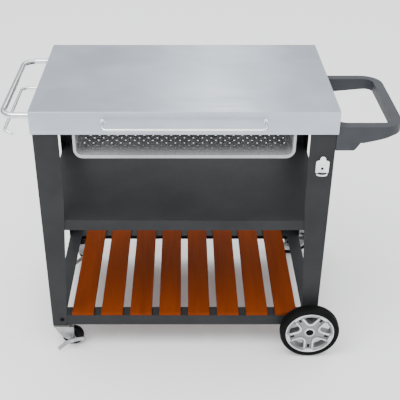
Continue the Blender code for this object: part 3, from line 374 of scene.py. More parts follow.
def brushed(name, light, shade, roughness=0.34, along=(4, 260, 260), line=0.000010, cloud=5.0,
            metallic=1.0):
    """Sheet metal with fine lines along one axis and soft clouds of tone."""
    f = Finish(name, light, roughness, metallic)
    clouds = f.noise(cloud, 3.0, 0.55)
    lines = f.noise(1.0, 4.0, 0.7, f.stretched(along))
    tone = f.mixed(f.between(clouds, 0.0, 1.0, 0.36, 0.64), tuple(shade), tuple(light))
    fine = f.mixed(f.between(lines, 0.0, 0.16), tone, tuple(c * 0.80 for c in light))
    f.paint("Base Color", fine)
    f.paint("Roughness", f.between(lines, roughness - 0.05, roughness + 0.08))
    f.bump(lines, line)
    f.bump(f.noise(2.2, 1.0), 0.0008, 0.25)


def plated(name, tint, roughness=0.12, mottled=0.06):
    """Bright plating: nearly a mirror, with faint haze and handling marks."""
    f = Finish(name, tint, roughness, 1.0)
    haze = f.noise(38.0, 3.0, 0.6)
    marks = f.noise(260.0, 2.0, 0.5)
    f.paint("Base Color", f.mixed(f.between(haze, 0.0, 1.0), tuple(tint), tuple(c * 0.84 for c in tint)))
    f.paint("Roughness", f.between(haze, roughness, roughness + mottled))
    f.bump(marks, 0.000012)


def coated(name, tint, roughness=0.48, grain=0.00006):
    """Powder coat: orange-peel relief, slightly uneven in tone."""
    f = Finish(name, tint, roughness, 0.0, 0.18)
    peel = f.noise(620.0, 2.0, 0.45)
    drift = f.noise(9.0, 3.0, 0.6)
    speck = f.cells(900.0)
    base = f.mixed(f.between(drift, 0.0, 1.0), tuple(c * 0.86 for c in tint), tuple(c * 1.14 for c in tint))
    f.paint("Base Color", f.mixed(f.between(speck, 0.16, 0.0, 0.0, 0.5), base,
                                  tuple(c * 1.7 for c in tint)))
    f.paint("Roughness", f.between(peel, roughness - 0.06, roughness + 0.08))
    f.bump(peel, grain)
    f.bump(drift, 0.0003, 0.25)


def moulded(name, tint, roughness=0.5, grain=0.00007, scale=780.0):
    """Moulded plastic with a fine spark-eroded texture."""
    f = Finish(name, tint, roughness, 0.0, 0.28)
    pits = f.noise(scale, 3.0, 0.65)
    sheen = f.noise(14.0, 2.0)
    f.paint("Base Color", f.mixed(f.between(sheen, 0.0, 1.0), tuple(c * 0.9 for c in tint),
                                  tuple(c * 1.1 for c in tint)))
    f.paint("Roughness", f.between(pits, roughness - 0.08, roughness + 0.1))
    f.bump(pits, grain)


def rubbery(name, tint, roughness=0.62):
    """Rubber: dull, with mould blush and a dusting of lighter bloom."""
    f = Finish(name, tint, roughness, 0.0, 0.10)
    bloom = f.noise(22.0, 4.0, 0.65)
    skin = f.noise(520.0, 3.0, 0.6)
    f.paint("Base Color", f.mixed(f.between(bloom, 0.0, 1.0), tuple(tint), tuple(c * 1.6 for c in tint)))
    f.paint("Roughness", f.between(skin, roughness - 0.1, roughness + 0.12))
    f.bump(skin, 0.00008)


def stained_wood(name, tint, dark):
    """Slats sawn along X: long grain, darker pores and satin varnish."""
    f = Finish(name, tint, 0.62, 0.0, 0.06)
    flow = f.noise(1.0, 5.0, 0.6, f.stretched((34, 3.2, 34)), 0.8)
    pores = f.noise(1.0, 4.0, 0.75, f.stretched((420, 9.0, 420)))
    board = f.noise(1.0, 0.0, 0.5, f.stretched((8.5, 0.01, 0.01)))
    grain = f.mixed(f.between(flow, 0.0, 1.0, 0.38, 0.66), tuple(tint), tuple(dark))
    fine = f.mixed(f.between(pores, 0.0, 0.35, 0.52, 0.70), grain, tuple(c * 0.6 for c in dark))
    f.paint("Base Color", f.mixed(f.between(board, 0.0, 0.25), fine, tuple(c * 1.3 for c in tint)))
    f.paint("Roughness", f.between(pores, 0.55, 0.68))
    f.bump(pores, 0.00009)
    f.bump(flow, 0.00012)


def seasoned(name, tint):
    """Thick rolled steel under baked oil: blue-brown clouds, glossier where the oil pooled."""
    f = Finish(name, tint, 0.38, 0.75)
    pools = f.noise(7.0, 5.0, 0.62, None, 0.6)
    scale_marks = f.noise(1.0, 3.0, 0.6, f.stretched((6, 90, 90)))
    warm = f.mixed(f.between(pools, 0.0, 1.0, 0.34, 0.68), tuple(tint), (0.085, 0.060, 0.042))
    f.paint("Base Color", f.mixed(f.between(scale_marks, 0.0, 0.4), warm, (0.030, 0.032, 0.037)))
    f.paint("Roughness", f.between(pools, 0.26, 0.52, 0.34, 0.68))
    f.bump(scale_marks, 0.00004)
    f.bump(f.noise(160.0, 4.0, 0.6), 0.00005)


def metallic_paint(name, tint):
    """Silver lacquer on a moulded wheel: fine flakes under a clear coat."""
    f = Finish(name, tint, 0.36, 0.55)
    flakes = f.cells(1500.0)
    drift = f.noise(24.0, 3.0, 0.6)
    base = f.mixed(f.between(flakes, 0.0, 0.35, 0.1, 0.6), tuple(tint), tuple(min(1.0, c * 1.25)
                                                                              for c in tint))
    f.paint("Base Color", f.mixed(f.between(drift, 0.0, 0.25), base, tuple(c * 0.78 for c in tint)))
    f.paint("Roughness", f.between(drift, 0.30, 0.44))
    f.shader.inputs["Coat Weight"].default_value = 0.25
    f.shader.inputs["Coat Roughness"].default_value = 0.2
    f.bump(f.noise(420.0, 2.0), 0.00003)


class GRIDDLE_OT_finishes(bpy.types.Operator):
    """Makes the finishes that the pieces share"""
    bl_idname = "griddle.finishes"
    bl_label = "Finishes"

    def execute(self, context):
        tints = context.scene.griddle_colours
        brushed("lid steel", tints.stainless, tints.stainless_shade)
        brushed("tray steel", (0.42, 0.425, 0.435), (0.36, 0.365, 0.375), 0.5, (260, 5, 260), metallic=0.3)
        brushed("liner steel", (0.40, 0.405, 0.41), (0.30, 0.305, 0.31), 0.42)
        plated("bright chrome", (0.90, 0.91, 0.92), 0.16)
        plated("polished rail", (0.74, 0.755, 0.775), 0.14, 0.06)
        plated("zinc", (0.50, 0.50, 0.50), 0.34, 0.12)
        plated("pressed zinc", (0.40, 0.405, 0.41), 0.30, 0.16)
        plated("brass", (0.62, 0.42, 0.16), 0.26, 0.1)
        coated("dark powder coat", tints.coat)
        # Black for screw heads, and also the painted shade in the hub's pockets
        coated("black oxide and painted pocket shade", (0.006, 0.006, 0.007), 0.38, 0.00003)
        moulded("handle moulding", tints.moulding)
        moulded("black moulding", (0.004, 0.004, 0.0045), 0.40, 0.00003)
        rubbery("tyre rubber", tints.rubber)
        rubbery("caster rubber", (0.0012, 0.0012, 0.0012), 0.5)
        stained_wood("stained wood", tints.wood, tints.wood_dark)
        seasoned("seasoned steel", tints.plate)
        metallic_paint("silver lacquer", (0.66, 0.665, 0.675))
        # Darker copy of the silver lacquer for the hub's recesses and walls: painted shade
        metallic_paint("painted shade lacquer", (0.22, 0.223, 0.23))
        moulded("white marking", (0.70, 0.70, 0.69), 0.5, 0.00002)
        return {"FINISHED"}


# ---------------------------------------------------------------- lid and cabinet

class GRIDDLE_OT_lid(bpy.types.Operator):
    """Models the stainless lid, its hem, its pull bar and its hinge leaf"""
    bl_idname = "griddle.lid"
    bl_label = "Lid"

    hem: length("Hem", 0.009, "Height of the folded hem along the apron's lower edge")
    hem_proud: length("Hem relief", 0.0006, "How far the hem stands out from the apron")
    rod: length("Pull bar", 0.008, "Diameter of the pull bar")

    def execute(self, context):
        low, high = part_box("lid")
        lid = softened("lid", 0.0015, 0.0026)
        wide = high.x - low.x
        hem = block((wide - 0.001, 0.003, self.hem), 0.0009, 3)
        place(hem, (TABLE_X, low.y + 0.0015 - self.hem_proud, low.z + self.hem / 2))
        sides = [place(block((0.003, 0.0026, high.z - low.z - 0.006), 0.0008),
                       (x, low.y + 0.0016, (low.z + high.z) / 2 - 0.002)) for x in (low.x + 0.002,
                                                                                    high.x - 0.002)]
        piece(joined(lid, hem, *sides), "lid_sheet", "lid steel", "lid", "stainless", "lid")

        low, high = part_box("lid_bar")
        radius = self.rod / 2
        foot_z, bar_z = high.z - radius, low.z + radius
        bar_y = low.y + radius
        ends = [(low.x + radius, high.y, foot_z), (low.x + radius, bar_y, bar_z),
                (high.x - radius, bar_y, bar_z), (high.x - radius, high.y, foot_z)]
        pull = bar(rounded(ends, 0.012, 10), radius, 20)
        feet = [place(lathe([(0, 0.0028), (0.0062, 0.0028), (0.0074, 0.0016), (0.0074, 0), (0, 0)], 28),
                      (x, high.y, foot_z), (90, 0, 0)) for x in (low.x + radius, high.x - radius)]
        piece(joined(pull, *feet), "lid_pull_bar", "bright chrome", "lid", "chrome", "lid_bar")
        piece(softened("hinge_leaf_lid", 0.002, edge=0.0003), "lid_hinge_leaf", "liner steel", "lid",
              "stainless", "hinge_leaf_lid")
        leaf_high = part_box("hinge_leaf_lid")[1]
        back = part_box("lid")[1].y + 0.0016
        spots = [(TABLE_X + share * 0.34, back, leaf_high.z - 0.009) for share in (-1, -0.5, 0, 0.5, 1)]
        screws(spots, (0, 1, 0), "zinc", "lid_hinge_rivets", "lid", "zinc", 0.008)
        return {"FINISHED"}


class GRIDDLE_OT_cabinet(bpy.types.Operator):
    """Models the burner box, griddle plate, grease cup and control panel"""
    bl_idname = "griddle.cabinet"
    bl_label = "Cabinet"

    def execute(self, context):
        piece(softened("burner_box", 0.0015, 0.0, 0.0003), "burner_box_sheet", "liner steel", "cart",
              "inner_steel", "burner_box")
        piece(softened("griddle_plate", 0.005, 0.0, 0.0006), "griddle_plate_steel", "seasoned steel",
              "cart", "griddle_steel", "griddle_plate")
        piece(softened("grease_cup", 0.0015, 0.0, 0.0003), "grease_cup_sheet", "liner steel", "grease_cup",
              "inner_steel", "grease_cup")
        piece(softened("control_panel", 0.0015, 0.0, 0.0003), "control_panel_sheet", "liner steel", "cart",
              "inner_steel", "control_panel")
        piece(softened("hinge_leaf_box", 0.002, 0.0, 0.0003), "box_hinge_leaf", "liner steel", "cart",
              "stainless", "hinge_leaf_box")
        for side in SIDES:
            node = f"tray_slide_{side}"
            piece(softened(node, 0.0015, 0.0, 0.0003), f"{node}_channel", "liner steel", "cart",
                  "inner_steel", node)
        self.marks()
        return {"FINISHED"}

    def marks(self):
        """Dial marks round each knob: a ring of bars that grow towards full flame."""
        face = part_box("control_panel")[0].y
        marks = []
        for i in (1, 2, 3):
            centre = middle(f"knob_{i}")
            for k in range(7):
                size = 0.0016 + 0.0005 * k
                mark = block((size, 0.0004, 0.0011), 0.0001, 1)
                place(mark, (0.0225, 0, 0))
                place(mark, (0, 0, 0), (0, -200 + k * 26 + 180, 0))
                marks.append(place(mark, (centre.x, face - 0.0001, centre.z)))
        piece(joined(*marks), "dial_marks", "black moulding", "cart", "black_plastic")


class GRIDDLE_OT_gas_train(bpy.types.Operator):
    """Models the burners, manifold, valves, stems, knobs and igniter"""
    bl_idname = "griddle.gas_train"
    bl_label = "Gas train"

    flutes: bpy.props.IntProperty(name="Knob flutes", description="Grip flutes round a knob", default=14,
                                  min=6)

    def execute(self, context):
        for i in (1, 2, 3):
            piece(softened(f"burner_{i}", 0.0, 0.0, 0.0002), f"burner_tube_{i}", "liner steel", "cart",
                  "inner_steel", f"burner_{i}")
            piece(softened(f"gas_valve_{i}", 0.0, 0.0, 0.0005), f"valve_body_{i}", "brass", "cart", "brass",
                  f"gas_valve_{i}")
            piece(softened(f"valve_stem_{i}", 0.0, 0.0, 0.0004), f"valve_spindle_{i}", "brass", f"stem_{i}",
                  "brass", f"valve_stem_{i}")
            self.knob(i)
        piece(softened("gas_manifold", 0.0, 0.0, 0.0003), "manifold_tube", "zinc", "cart", "inner_steel",
              "gas_manifold")
        piece(softened("igniter_body", 0.0, 0.0, 0.0005), "igniter_housing", "black moulding", "cart",
              "black_plastic", "igniter_body")
        low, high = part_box("igniter_button")
        radius, deep = (high.x - low.x) / 2, high.y - low.y
        button = lathe([(0, 0), (radius * 0.8, 0), (radius, 0), (radius, deep * 0.72),
                        (radius * 0.86, deep * 0.9), (radius * 0.6, deep * 0.94), (0, deep * 0.86)], 36)
        centre = (low + high) / 2
        place(button, (centre.x, high.y, centre.z), (90, 0, 0))
        piece(button, "igniter_cap", "black moulding", "igniter_button", "black_plastic", "igniter_button")
        return {"FINISHED"}

    def knob(self, i):
        """A fluted grip on a skirt, with a raised pointer rib."""
        low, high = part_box(f"knob_{i}")
        radius, deep = (high.x - low.x) / 2, high.y - low.y
        body = lathe([(0.0036, 0), (radius, 0), (radius, deep * 0.16), (radius * 0.93, deep * 0.24),
                      (radius * 0.80, deep * 0.30), (radius * 0.76, deep * 0.85),
                      (radius * 0.66, deep * 0.97), (0, deep)], 72)
        for v in body.verts:
            around = atan2(v.co.y, v.co.x)
            if deep * 0.28 < v.co.z < deep * 0.9 and v.co.xy.length > radius * 0.5:
                v.co.xy *= 1 - 0.05 * (0.5 + 0.5 * cos(around * self.flutes))
        rib = place(block((0.0045, radius * 1.5, 0.0050), 0.0012, 3), (0, 0.001, deep - 0.0018))
        line = place(block((0.0014, radius * 0.62, 0.0008), 0.0002, 1), (0, radius * 0.42, deep + 0.0008))
        centre = (low + high) / 2
        at = (centre.x, high.y, centre.z)
        place(line, at, (90, 0, 0))
        piece(place(joined(body, rib), at, (90, 0, 0)), f"knob_grip_{i}", "black moulding", f"knob_{i}",
              "black_plastic", f"knob_{i}")
        piece(line, f"knob_line_{i}", "white marking", f"knob_{i}", "black_plastic")


# ---------------------------------------------------------------- frame, shelf and slats

class GRIDDLE_OT_frame(bpy.types.Operator):
    """Models the folded legs, rails and shelf with their screws"""
    bl_idname = "griddle.frame"
    bl_label = "Frame"

    def execute(self, context):
        for end, _ in ENDS:
            for side in SIDES:
                node = f"leg_{side}_{end}"
                piece(softened(node), f"{node}_sheet", "dark powder coat", "cart", "dark_paint", node)
        for side in ("front", "back", "left", "right"):
            node = f"lower_rail_{side}"
            piece(softened(node), f"{node}_sheet", "dark powder coat", "cart", "dark_paint", node)
        piece(softened("mid_shelf", 0.0015), "mid_shelf_sheet", "dark powder coat", "cart", "dark_paint",
              "mid_shelf")
        self.leg_screws()
        return {"FINISHED"}

    def leg_screws(self):
        """Button-head screws through the legs into the rails, shelf and box."""
        rail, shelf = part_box("lower_rail_front"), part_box("mid_shelf")
        rail_z = rail[1].z - 0.016
        shelf_z = (shelf[0].z + shelf[1].z) / 2
        face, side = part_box("leg_left_front"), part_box("leg_right_back")
        inset = 0.034
        front, left = face[0].y, face[0].x
        back, right = side[1].y, side[1].x
        faced = [(x, y, z) for z in (rail_z,) for y in (front, back) for x in (left + inset, right - inset)]
        for direction, y in ((-1, front), (1, back)):
            spots = [(p[0], y, p[2]) for p in faced if p[1] == y]
            screws(spots, (0, direction, 0), "caster rubber",
                   f"rail_screws_{'front' if direction < 0 else 'back'}", "cart", "dark_paint", 0.0150)
        for direction, x, name in ((-1, left, "left"), (1, right, "right")):
            spots = [(x, y, z) for z in (rail_z, shelf_z, TOP - 0.076) for y in (front + 0.022,
                                                                                 back - 0.022)]
            screws(spots, (direction, 0, 0), "black oxide and painted pocket shade", f"side_screws_{name}", "cart", "dark_paint",
                   0.010)


class GRIDDLE_OT_slats(bpy.types.Operator):
    """Models the wood slats of the lower shelf"""
    bl_idname = "griddle.slats"
    bl_label = "Slats"

    round_over: length("Round-over", 0.0028, "Rounding along the slats' long edges")

    def execute(self, context):
        for i in range(1, 9):
            low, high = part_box(f"slat_{i}")
            size = high - low
            slat = bmesh.new()
            bmesh.ops.create_cube(slat, size=1.0)
            bmesh.ops.scale(slat, verts=slat.verts, vec=size)
            lengthwise = [e for e in slat.edges if abs((e.verts[0].co - e.verts[1].co).y) > size.y / 2]
            bevelled(slat, lengthwise, self.round_over, 4)
            bevelled(slat, sharp_edges(slat, 50), 0.0008, 2)
            place(slat, (low + high) / 2)
            piece(slat, f"slat_board_{i}", "stained wood", "cart", "wood", f"slat_{i}")
        rail_y = [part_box("slat_1")[0].y + 0.020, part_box("slat_1")[1].y - 0.020]
        spots = [(middle(f"slat_{i}").x, y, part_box(f"slat_{i}")[1].z - 0.0012) for i in range(1, 9)
                 for y in rail_y]
        screws(spots, (0, 0, 1), "black oxide and painted pocket shade", "slat_screws", "cart", "zinc", 0.006)
        return {"FINISHED"}


class GRIDDLE_OT_tray(bpy.types.Operator):
    """Models the perforated tray: one punched sheet bent into a trough, flanged at its front"""
    bl_idname = "griddle.tray"
    bl_label = "Perforated tray"

    corner: length("Corner radius", 0.020, "Bend between the floor and a side wall")
    sheet: length("Sheet", 0.0012, "Thickness")
    flange: length("Flange", 0.012, "Flange that runs in the slides")
    rim: length("Rim", 0.007, "Front flange beside the walls")
    lip: length("Lip", 0.009, "Front flange under the floor")

    def execute(self, context):
        sizes = context.scene.griddle_sizes
        low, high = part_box("perforated_tray")
        half = (high.x - low.x) / 2 - self.flange
        floor_z = low.z + self.lip
        wall_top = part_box("tray_slide_left")[1].z - 0.0045
        drop = wall_top - floor_z
        flat_floor = half - self.corner
        flat_wall = drop - self.corner
        arc = self.corner * pi / 2
        reach = flat_floor + arc + flat_wall + self.flange
        front, back = low.y + self.sheet, high.y
        bm = self.punched(sizes, reach, front, back, flat_floor, arc, flat_wall)
        self.bend(bm, flat_floor, arc, flat_wall, floor_z)
        self.front_flange(bm, half, front, floor_z)
        bmesh.ops.recalc_face_normals(bm, faces=bm.faces)
        bm.faces.ensure_lookup_table()
        down = max(bm.faces, key=lambda f: f.calc_area())
        if down.normal.z > 0:
            bmesh.ops.reverse_faces(bm, faces=bm.faces)
        bmesh.ops.solidify(bm, geom=bm.faces, thickness=self.sheet)
        place(bm, (TABLE_X, 0, 0))
        piece(bm, "tray_sheet", "tray steel", "tray", "perforated_steel", "perforated_tray", sharp=50)
        return {"FINISHED"}

    def punched(self, sizes, reach, front, back, flat_floor, arc, flat_wall):
        """A flat sheet in XY with staggered round holes, cut along its bend lines."""
        pitch = sizes.hole_pitch
        columns = 2 * round(reach / sizes.column_pitch - 0.5) + 1
        rows = round((back - front) / pitch)
        bm = bmesh.new()
        bmesh.ops.create_grid(bm, x_segments=columns, y_segments=rows, size=0.5)
        bmesh.ops.scale(bm, verts=bm.verts, vec=(2 * reach, back - front, 1))
        bmesh.ops.translate(bm, verts=bm.verts, vec=(0, (front + back) / 2, 0))
        wide, deep = 2 * reach / columns, (back - front) / rows
        cells = [f for f in bm.faces if self.is_holed(f.calc_center_median(), reach, front, wide, deep,
                                                      columns)]
        centres = {}
        bmesh.ops.inset_individual(bm, faces=cells, thickness=min(wide, deep) * 0.22)
        edges = list({e for f in cells for e in f.edges})
        for f in cells:
            centres[f] = f.calc_center_median()
        bmesh.ops.subdivide_edges(bm, edges=edges, cuts=2)
        for f in cells:
            centre = centres[f]
            for v in f.verts:
                v.co = centre + (v.co - centre).normalized() * sizes.hole / 2
        bmesh.ops.delete(bm, geom=cells, context="FACES_ONLY")
        cuts = 6
        for side in (-1, 1):
            for k in range(cuts + 1):
                self.slice(bm, side * (flat_floor + arc * k / cuts))
            self.slice(bm, side * (flat_floor + arc + flat_wall))
        return bm

    def is_holed(self, centre, reach, front, wide, deep, columns):
        """Every other cell has a hole; the outermost columns are left plain for the flanges."""
        column = int((centre.x + reach) / wide)
        row = int((centre.y - front) / deep)
        return (column + row) % 2 == 0 and 1 < column < columns - 2

    def slice(self, bm, x):
        bmesh.ops.bisect_plane(bm, geom=bm.verts[:] + bm.edges[:] + bm.faces[:], plane_co=(x, 0, 0),
                               plane_no=(1, 0, 0), dist=1e-6)

    def bend(self, bm, flat_floor, arc, flat_wall, floor_z):
        """Wraps the flat sheet onto the trough's section."""
        for v in bm.verts:
            side, u = (-1 if v.co.x < 0 else 1), abs(v.co.x)
            if u <= flat_floor:
                x, z = u, 0.0
            elif u <= flat_floor + arc:
                turn = (u - flat_floor) / self.corner
                x, z = flat_floor + self.corner * sin(turn), self.corner * (1 - cos(turn))
            elif u <= flat_floor + arc + flat_wall:
                x, z = flat_floor + self.corner, self.corner + u - flat_floor - arc
            else:
                x, z = flat_floor + self.corner + u - flat_floor - arc - flat_wall, self.corner + flat_wall
            v.co.x, v.co.z = side * x, floor_z + z

    def front_flange(self, bm, half, front, floor_z):
        """Draws the front edge outwards, deeper under the floor than beside the walls."""
        edge = [e for e in bm.edges if e.is_boundary and all(abs(v.co.y - front) < 1e-5 for v in e.verts)
                and all(abs(v.co.x) < half + 0.0002 for v in e.verts)]
        made = bmesh.ops.extrude_edge_only(bm, edges=edge)
        for v in (g for g in made["geom"] if isinstance(g, bmesh.types.BMVert)):
            inner = Vector((max(self.corner - half, min(half - self.corner, v.co.x)), front,
                            max(floor_z + self.corner, v.co.z)))
            away = v.co - inner
            if away.length > 0.0001:
                under = max(0.0, -away.normalized().z) ** 3
                v.co += away.normalized() * (self.rim + (self.lip - self.rim) * under)


# ---------------------------------------------------------------- side fittings

class GRIDDLE_OT_side_fittings(bpy.types.Operator):
    """Models the side rail, towel rod, moulded side handle and bottle opener"""
    bl_idname = "griddle.side_fittings"
    bl_label = "Side fittings"

    rail_bend: length("Rail bend", 0.040, "Bend radius of the side rail's corners")
    bar_wide: length("Handle bar", 0.030, "Width of the handle's bars seen from above")
    bar_tall: length("Handle height", 0.0535, "Height of the handle's front bar at its root")
    edge: length("Handle edge", 0.0075, "Rounding of the handle's edges")
    hook_forward: length("Hook forward", 0.010, "How far the towel rod's hook runs ahead of its corner")
    hook_drop: length("Hook drop", 0.006, "How far the towel rod's hook falls")

    def execute(self, context):
        self.side_rail()
        self.towel_rod()
        self.handle()
        self.opener()
        return {"FINISHED"}

    def side_rail(self):
        low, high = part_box("side_rail")
        radius = (high.z - low.z) / 2
        x, z = low.x + radius, (low.z + high.z) / 2
        y0, y1 = low.y + radius, high.y - radius
        path = rounded([(high.x, y1, z), (x, y1, z), (x, y0, z), (high.x, y0, z)], self.rail_bend, 14)
        rail = bar(path, radius, 28)
        flanges = []
        for y in (y0, y1):
            ring = lathe([(radius - 0.001, 0.0), (radius + 0.0065, 0.0), (radius + 0.0065, 0.0016),
                          (radius + 0.0055, 0.0026), (radius + 0.0022, 0.0032), (radius + 0.0010, 0.0072),
                          (radius - 0.001, 0.0078)], 40, closed=True)
            leg_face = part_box("leg_left_front")[0].x
            flanges.append(place(ring, (leg_face, y, z), (0, -90, 0)))
        piece(joined(rail, *flanges), "side_rail_tube", "polished rail", "cart", "chrome", "side_rail")

    def towel_rod(self):
        low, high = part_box("towel_rod")
        radius = 0.005
        x, z = low.x + radius, high.z - radius
        back, corner = high.y - radius, low.y + radius + self.hook_forward
        hook = (x + 0.024, corner - self.hook_forward, z - self.hook_drop)
        path = rounded([(high.x, back, z), (x, back, z), (x, corner, z), hook], [0, 0.018, 0.012, 0], 10)
        rod = bar(path, radius, 16)
        tip = place(lathe([(0, radius * 0.9), (radius * 0.6, radius * 0.8), (radius, 0.0005),
                           (radius, -0.002)], 16), hook, (0, 80, 0))
        leg_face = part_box("leg_left_front")[0].x
        collar = lathe([(radius - 0.0005, 0), (radius + 0.004, 0), (radius + 0.004, 0.0014),
                        (radius + 0.0012, 0.0026), (radius - 0.0005, 0.0026)], 28, closed=True)
        place(collar, (leg_face, back, z), (0, -90, 0))
        piece(joined(rod, tip, collar), "towel_rod_bar", "polished rail", "cart", "chrome", "towel_rod")

    def handle(self):
        """One moulding: a U of soft-edged bar, its underside rising outwards, with a bracket in front."""
        low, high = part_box("side_handle")
        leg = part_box("leg_right_front")
        x0, reach, front, back = leg[1].x + 0.0003, high.x, low.y, high.y
        wide, flare, outer, inner, root = self.bar_wide, 0.040, 0.066, 0.030, 0.036
        outline = [(x0, front), (reach, front), (reach, back), (x0, back), (x0, back - wide - flare),
                   (x0 + 0.002, back - wide), (reach - wide, back - wide), (reach - wide, front + wide),
                   (x0 + 0.002, front + wide), (x0, front + wide + flare)]
        radii = [0, outer, outer, 0, 0, root, inner, inner, root, 0]
        ring = rounded([(x, y, 0) for x, y in outline], radii, 12, closed=True)
        tall = self.bar_tall
        bm = plate(ring, tall, 0)
        rim = [e for e in sharp_edges(bm, 60) if abs(e.verts[0].co.z - e.verts[1].co.z) < 1e-5]
        bevelled(bm, rim, self.edge, 6)
        for x in (reach - 0.188, reach - 0.150, reach - 0.118, reach - 0.085, reach - 0.055):
            bmesh.ops.bisect_plane(bm, geom=bm.verts[:] + bm.edges[:] + bm.faces[:], plane_co=(x, 0, 0),
                                   plane_no=(1, 0, 0), dist=1e-6)
        bmesh.ops.bisect_plane(bm, geom=bm.verts[:] + bm.edges[:] + bm.faces[:], plane_co=(0, 0, 0),
                               plane_no=(0, 0, 1), dist=1e-6)
        for v in bm.verts:
            toward_back = max(0.0, min(1.0, (v.co.y - front - wide) / (back - front - 2 * wide)))
            out = reach - v.co.x
            under = max(0.0, min(1.0, -v.co.z / (tall / 2 - self.edge)))
            deep = self.front_depth(out) * (1 - toward_back) + self.back_depth(out) * toward_back
            v.co.z += under * (tall - deep)
        place(bm, (0, 0, high.z - tall / 2))
        foot = low.z
        web = [(x0, high.z - 0.012), (x0, foot), (reach - 0.146, foot), (reach - 0.139, foot + 0.0075),
               (reach - 0.127, foot + 0.0265), (reach - 0.118, foot + 0.032),
               (reach - 0.118, high.z - 0.012)]
        web = rounded([(x, z, 0) for x, z in web], [0, 0, 0.006, 0.010, 0.010, 0.0, 0], 4, closed=True)
        bracket = plate(web, wide - 0.003, 0.003, 3)
        place(bracket, (0, front + wide / 2, 0), (90, 0, 0))
        piece(joined(bm, bracket), "side_handle_moulding", "handle moulding", "cart", "handle_plastic",
              "side_handle", sharp=40)

    def front_depth(self, out):
        """Height of the front bar at a distance in from the handle's outer side."""
        start, run, lift = 0.118, 0.084, 0.0215
        return self.bar_tall - lift * max(0.0, min(1.0, (start - out) / run)) ** 1.1

    def back_depth(self, out):
        """Height of the back bar at a distance in from the handle's outer side."""
        start, run, root, lift = 0.188, 0.170, 0.048, 0.016
        return root - lift * max(0.0, min(1.0, (start - out) / run))

    def opener(self):
        """A cast opener: a plain shield with a rounded tab, a hooked tooth and a curled round lower lip."""
        low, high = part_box("bottle_opener")
        x, back = (low.x + high.x) / 2, high.y
        wide, sheet = high.x - low.x, 0.0032
        tab_r = 0.0088
        shoulder = high.z - 0.0150
        base = low.z + 0.008
        outline = [(-wide / 2 + 0.0005, base), (wide / 2 - 0.0005, base), (wide / 2, shoulder),
                   (tab_r, shoulder + 0.001), (tab_r, high.z), (-tab_r, high.z), (-tab_r, shoulder + 0.001),
                   (-wide / 2, shoulder)]
        radii = [0.004, 0.004, 0.006, 0.005, 0.0085, 0.0085, 0.005, 0.006]
        ring = rounded([(a, b, 0) for a, b in outline], radii, 6, closed=True)
        shield = place(plate(ring, sheet, 0.0009, 3), (x, back - sheet / 2, 0), (90, 0, 0))
        lip = lathe([(0.0, 0.0), (wide * 0.40, 0.0), (wide * 0.46, 0.0020), (wide * 0.47, 0.0070),
                     (wide * 0.43, 0.0070), (wide * 0.40, 0.0030), (0.0, 0.0024)], 48)
        bmesh.ops.bisect_plane(lip, geom=lip.verts[:] + lip.edges[:] + lip.faces[:], plane_co=(0, 0.0, 0),
                               plane_no=(0, 1, 0), clear_outer=True, dist=1e-6)
        bmesh.ops.holes_fill(lip, edges=[e for e in lip.edges if e.is_boundary])
        bmesh.ops.scale(lip, verts=lip.verts, vec=(1.0, (back - low.y - 0.001) / (wide * 0.47), 1.0))
        place(cleaned(lip), (x, back, low.z + 0.0005))
        tooth = block((wide * 0.40, 0.0060, 0.0034), 0.0012, 3)
        place(tooth, (x, back - sheet - 0.0020, base + 0.0065))
        piece(joined(shield, lip, tooth), "bottle_opener_casting", "bright chrome", "cart", "chrome",
              "bottle_opener")
        screws([(x, back - sheet, base + 0.0165)], (0, -1, 0), "black oxide and painted pocket shade", "opener_screw", "cart",
               "chrome", 0.0090)


# ---------------------------------------------------------------- wheels

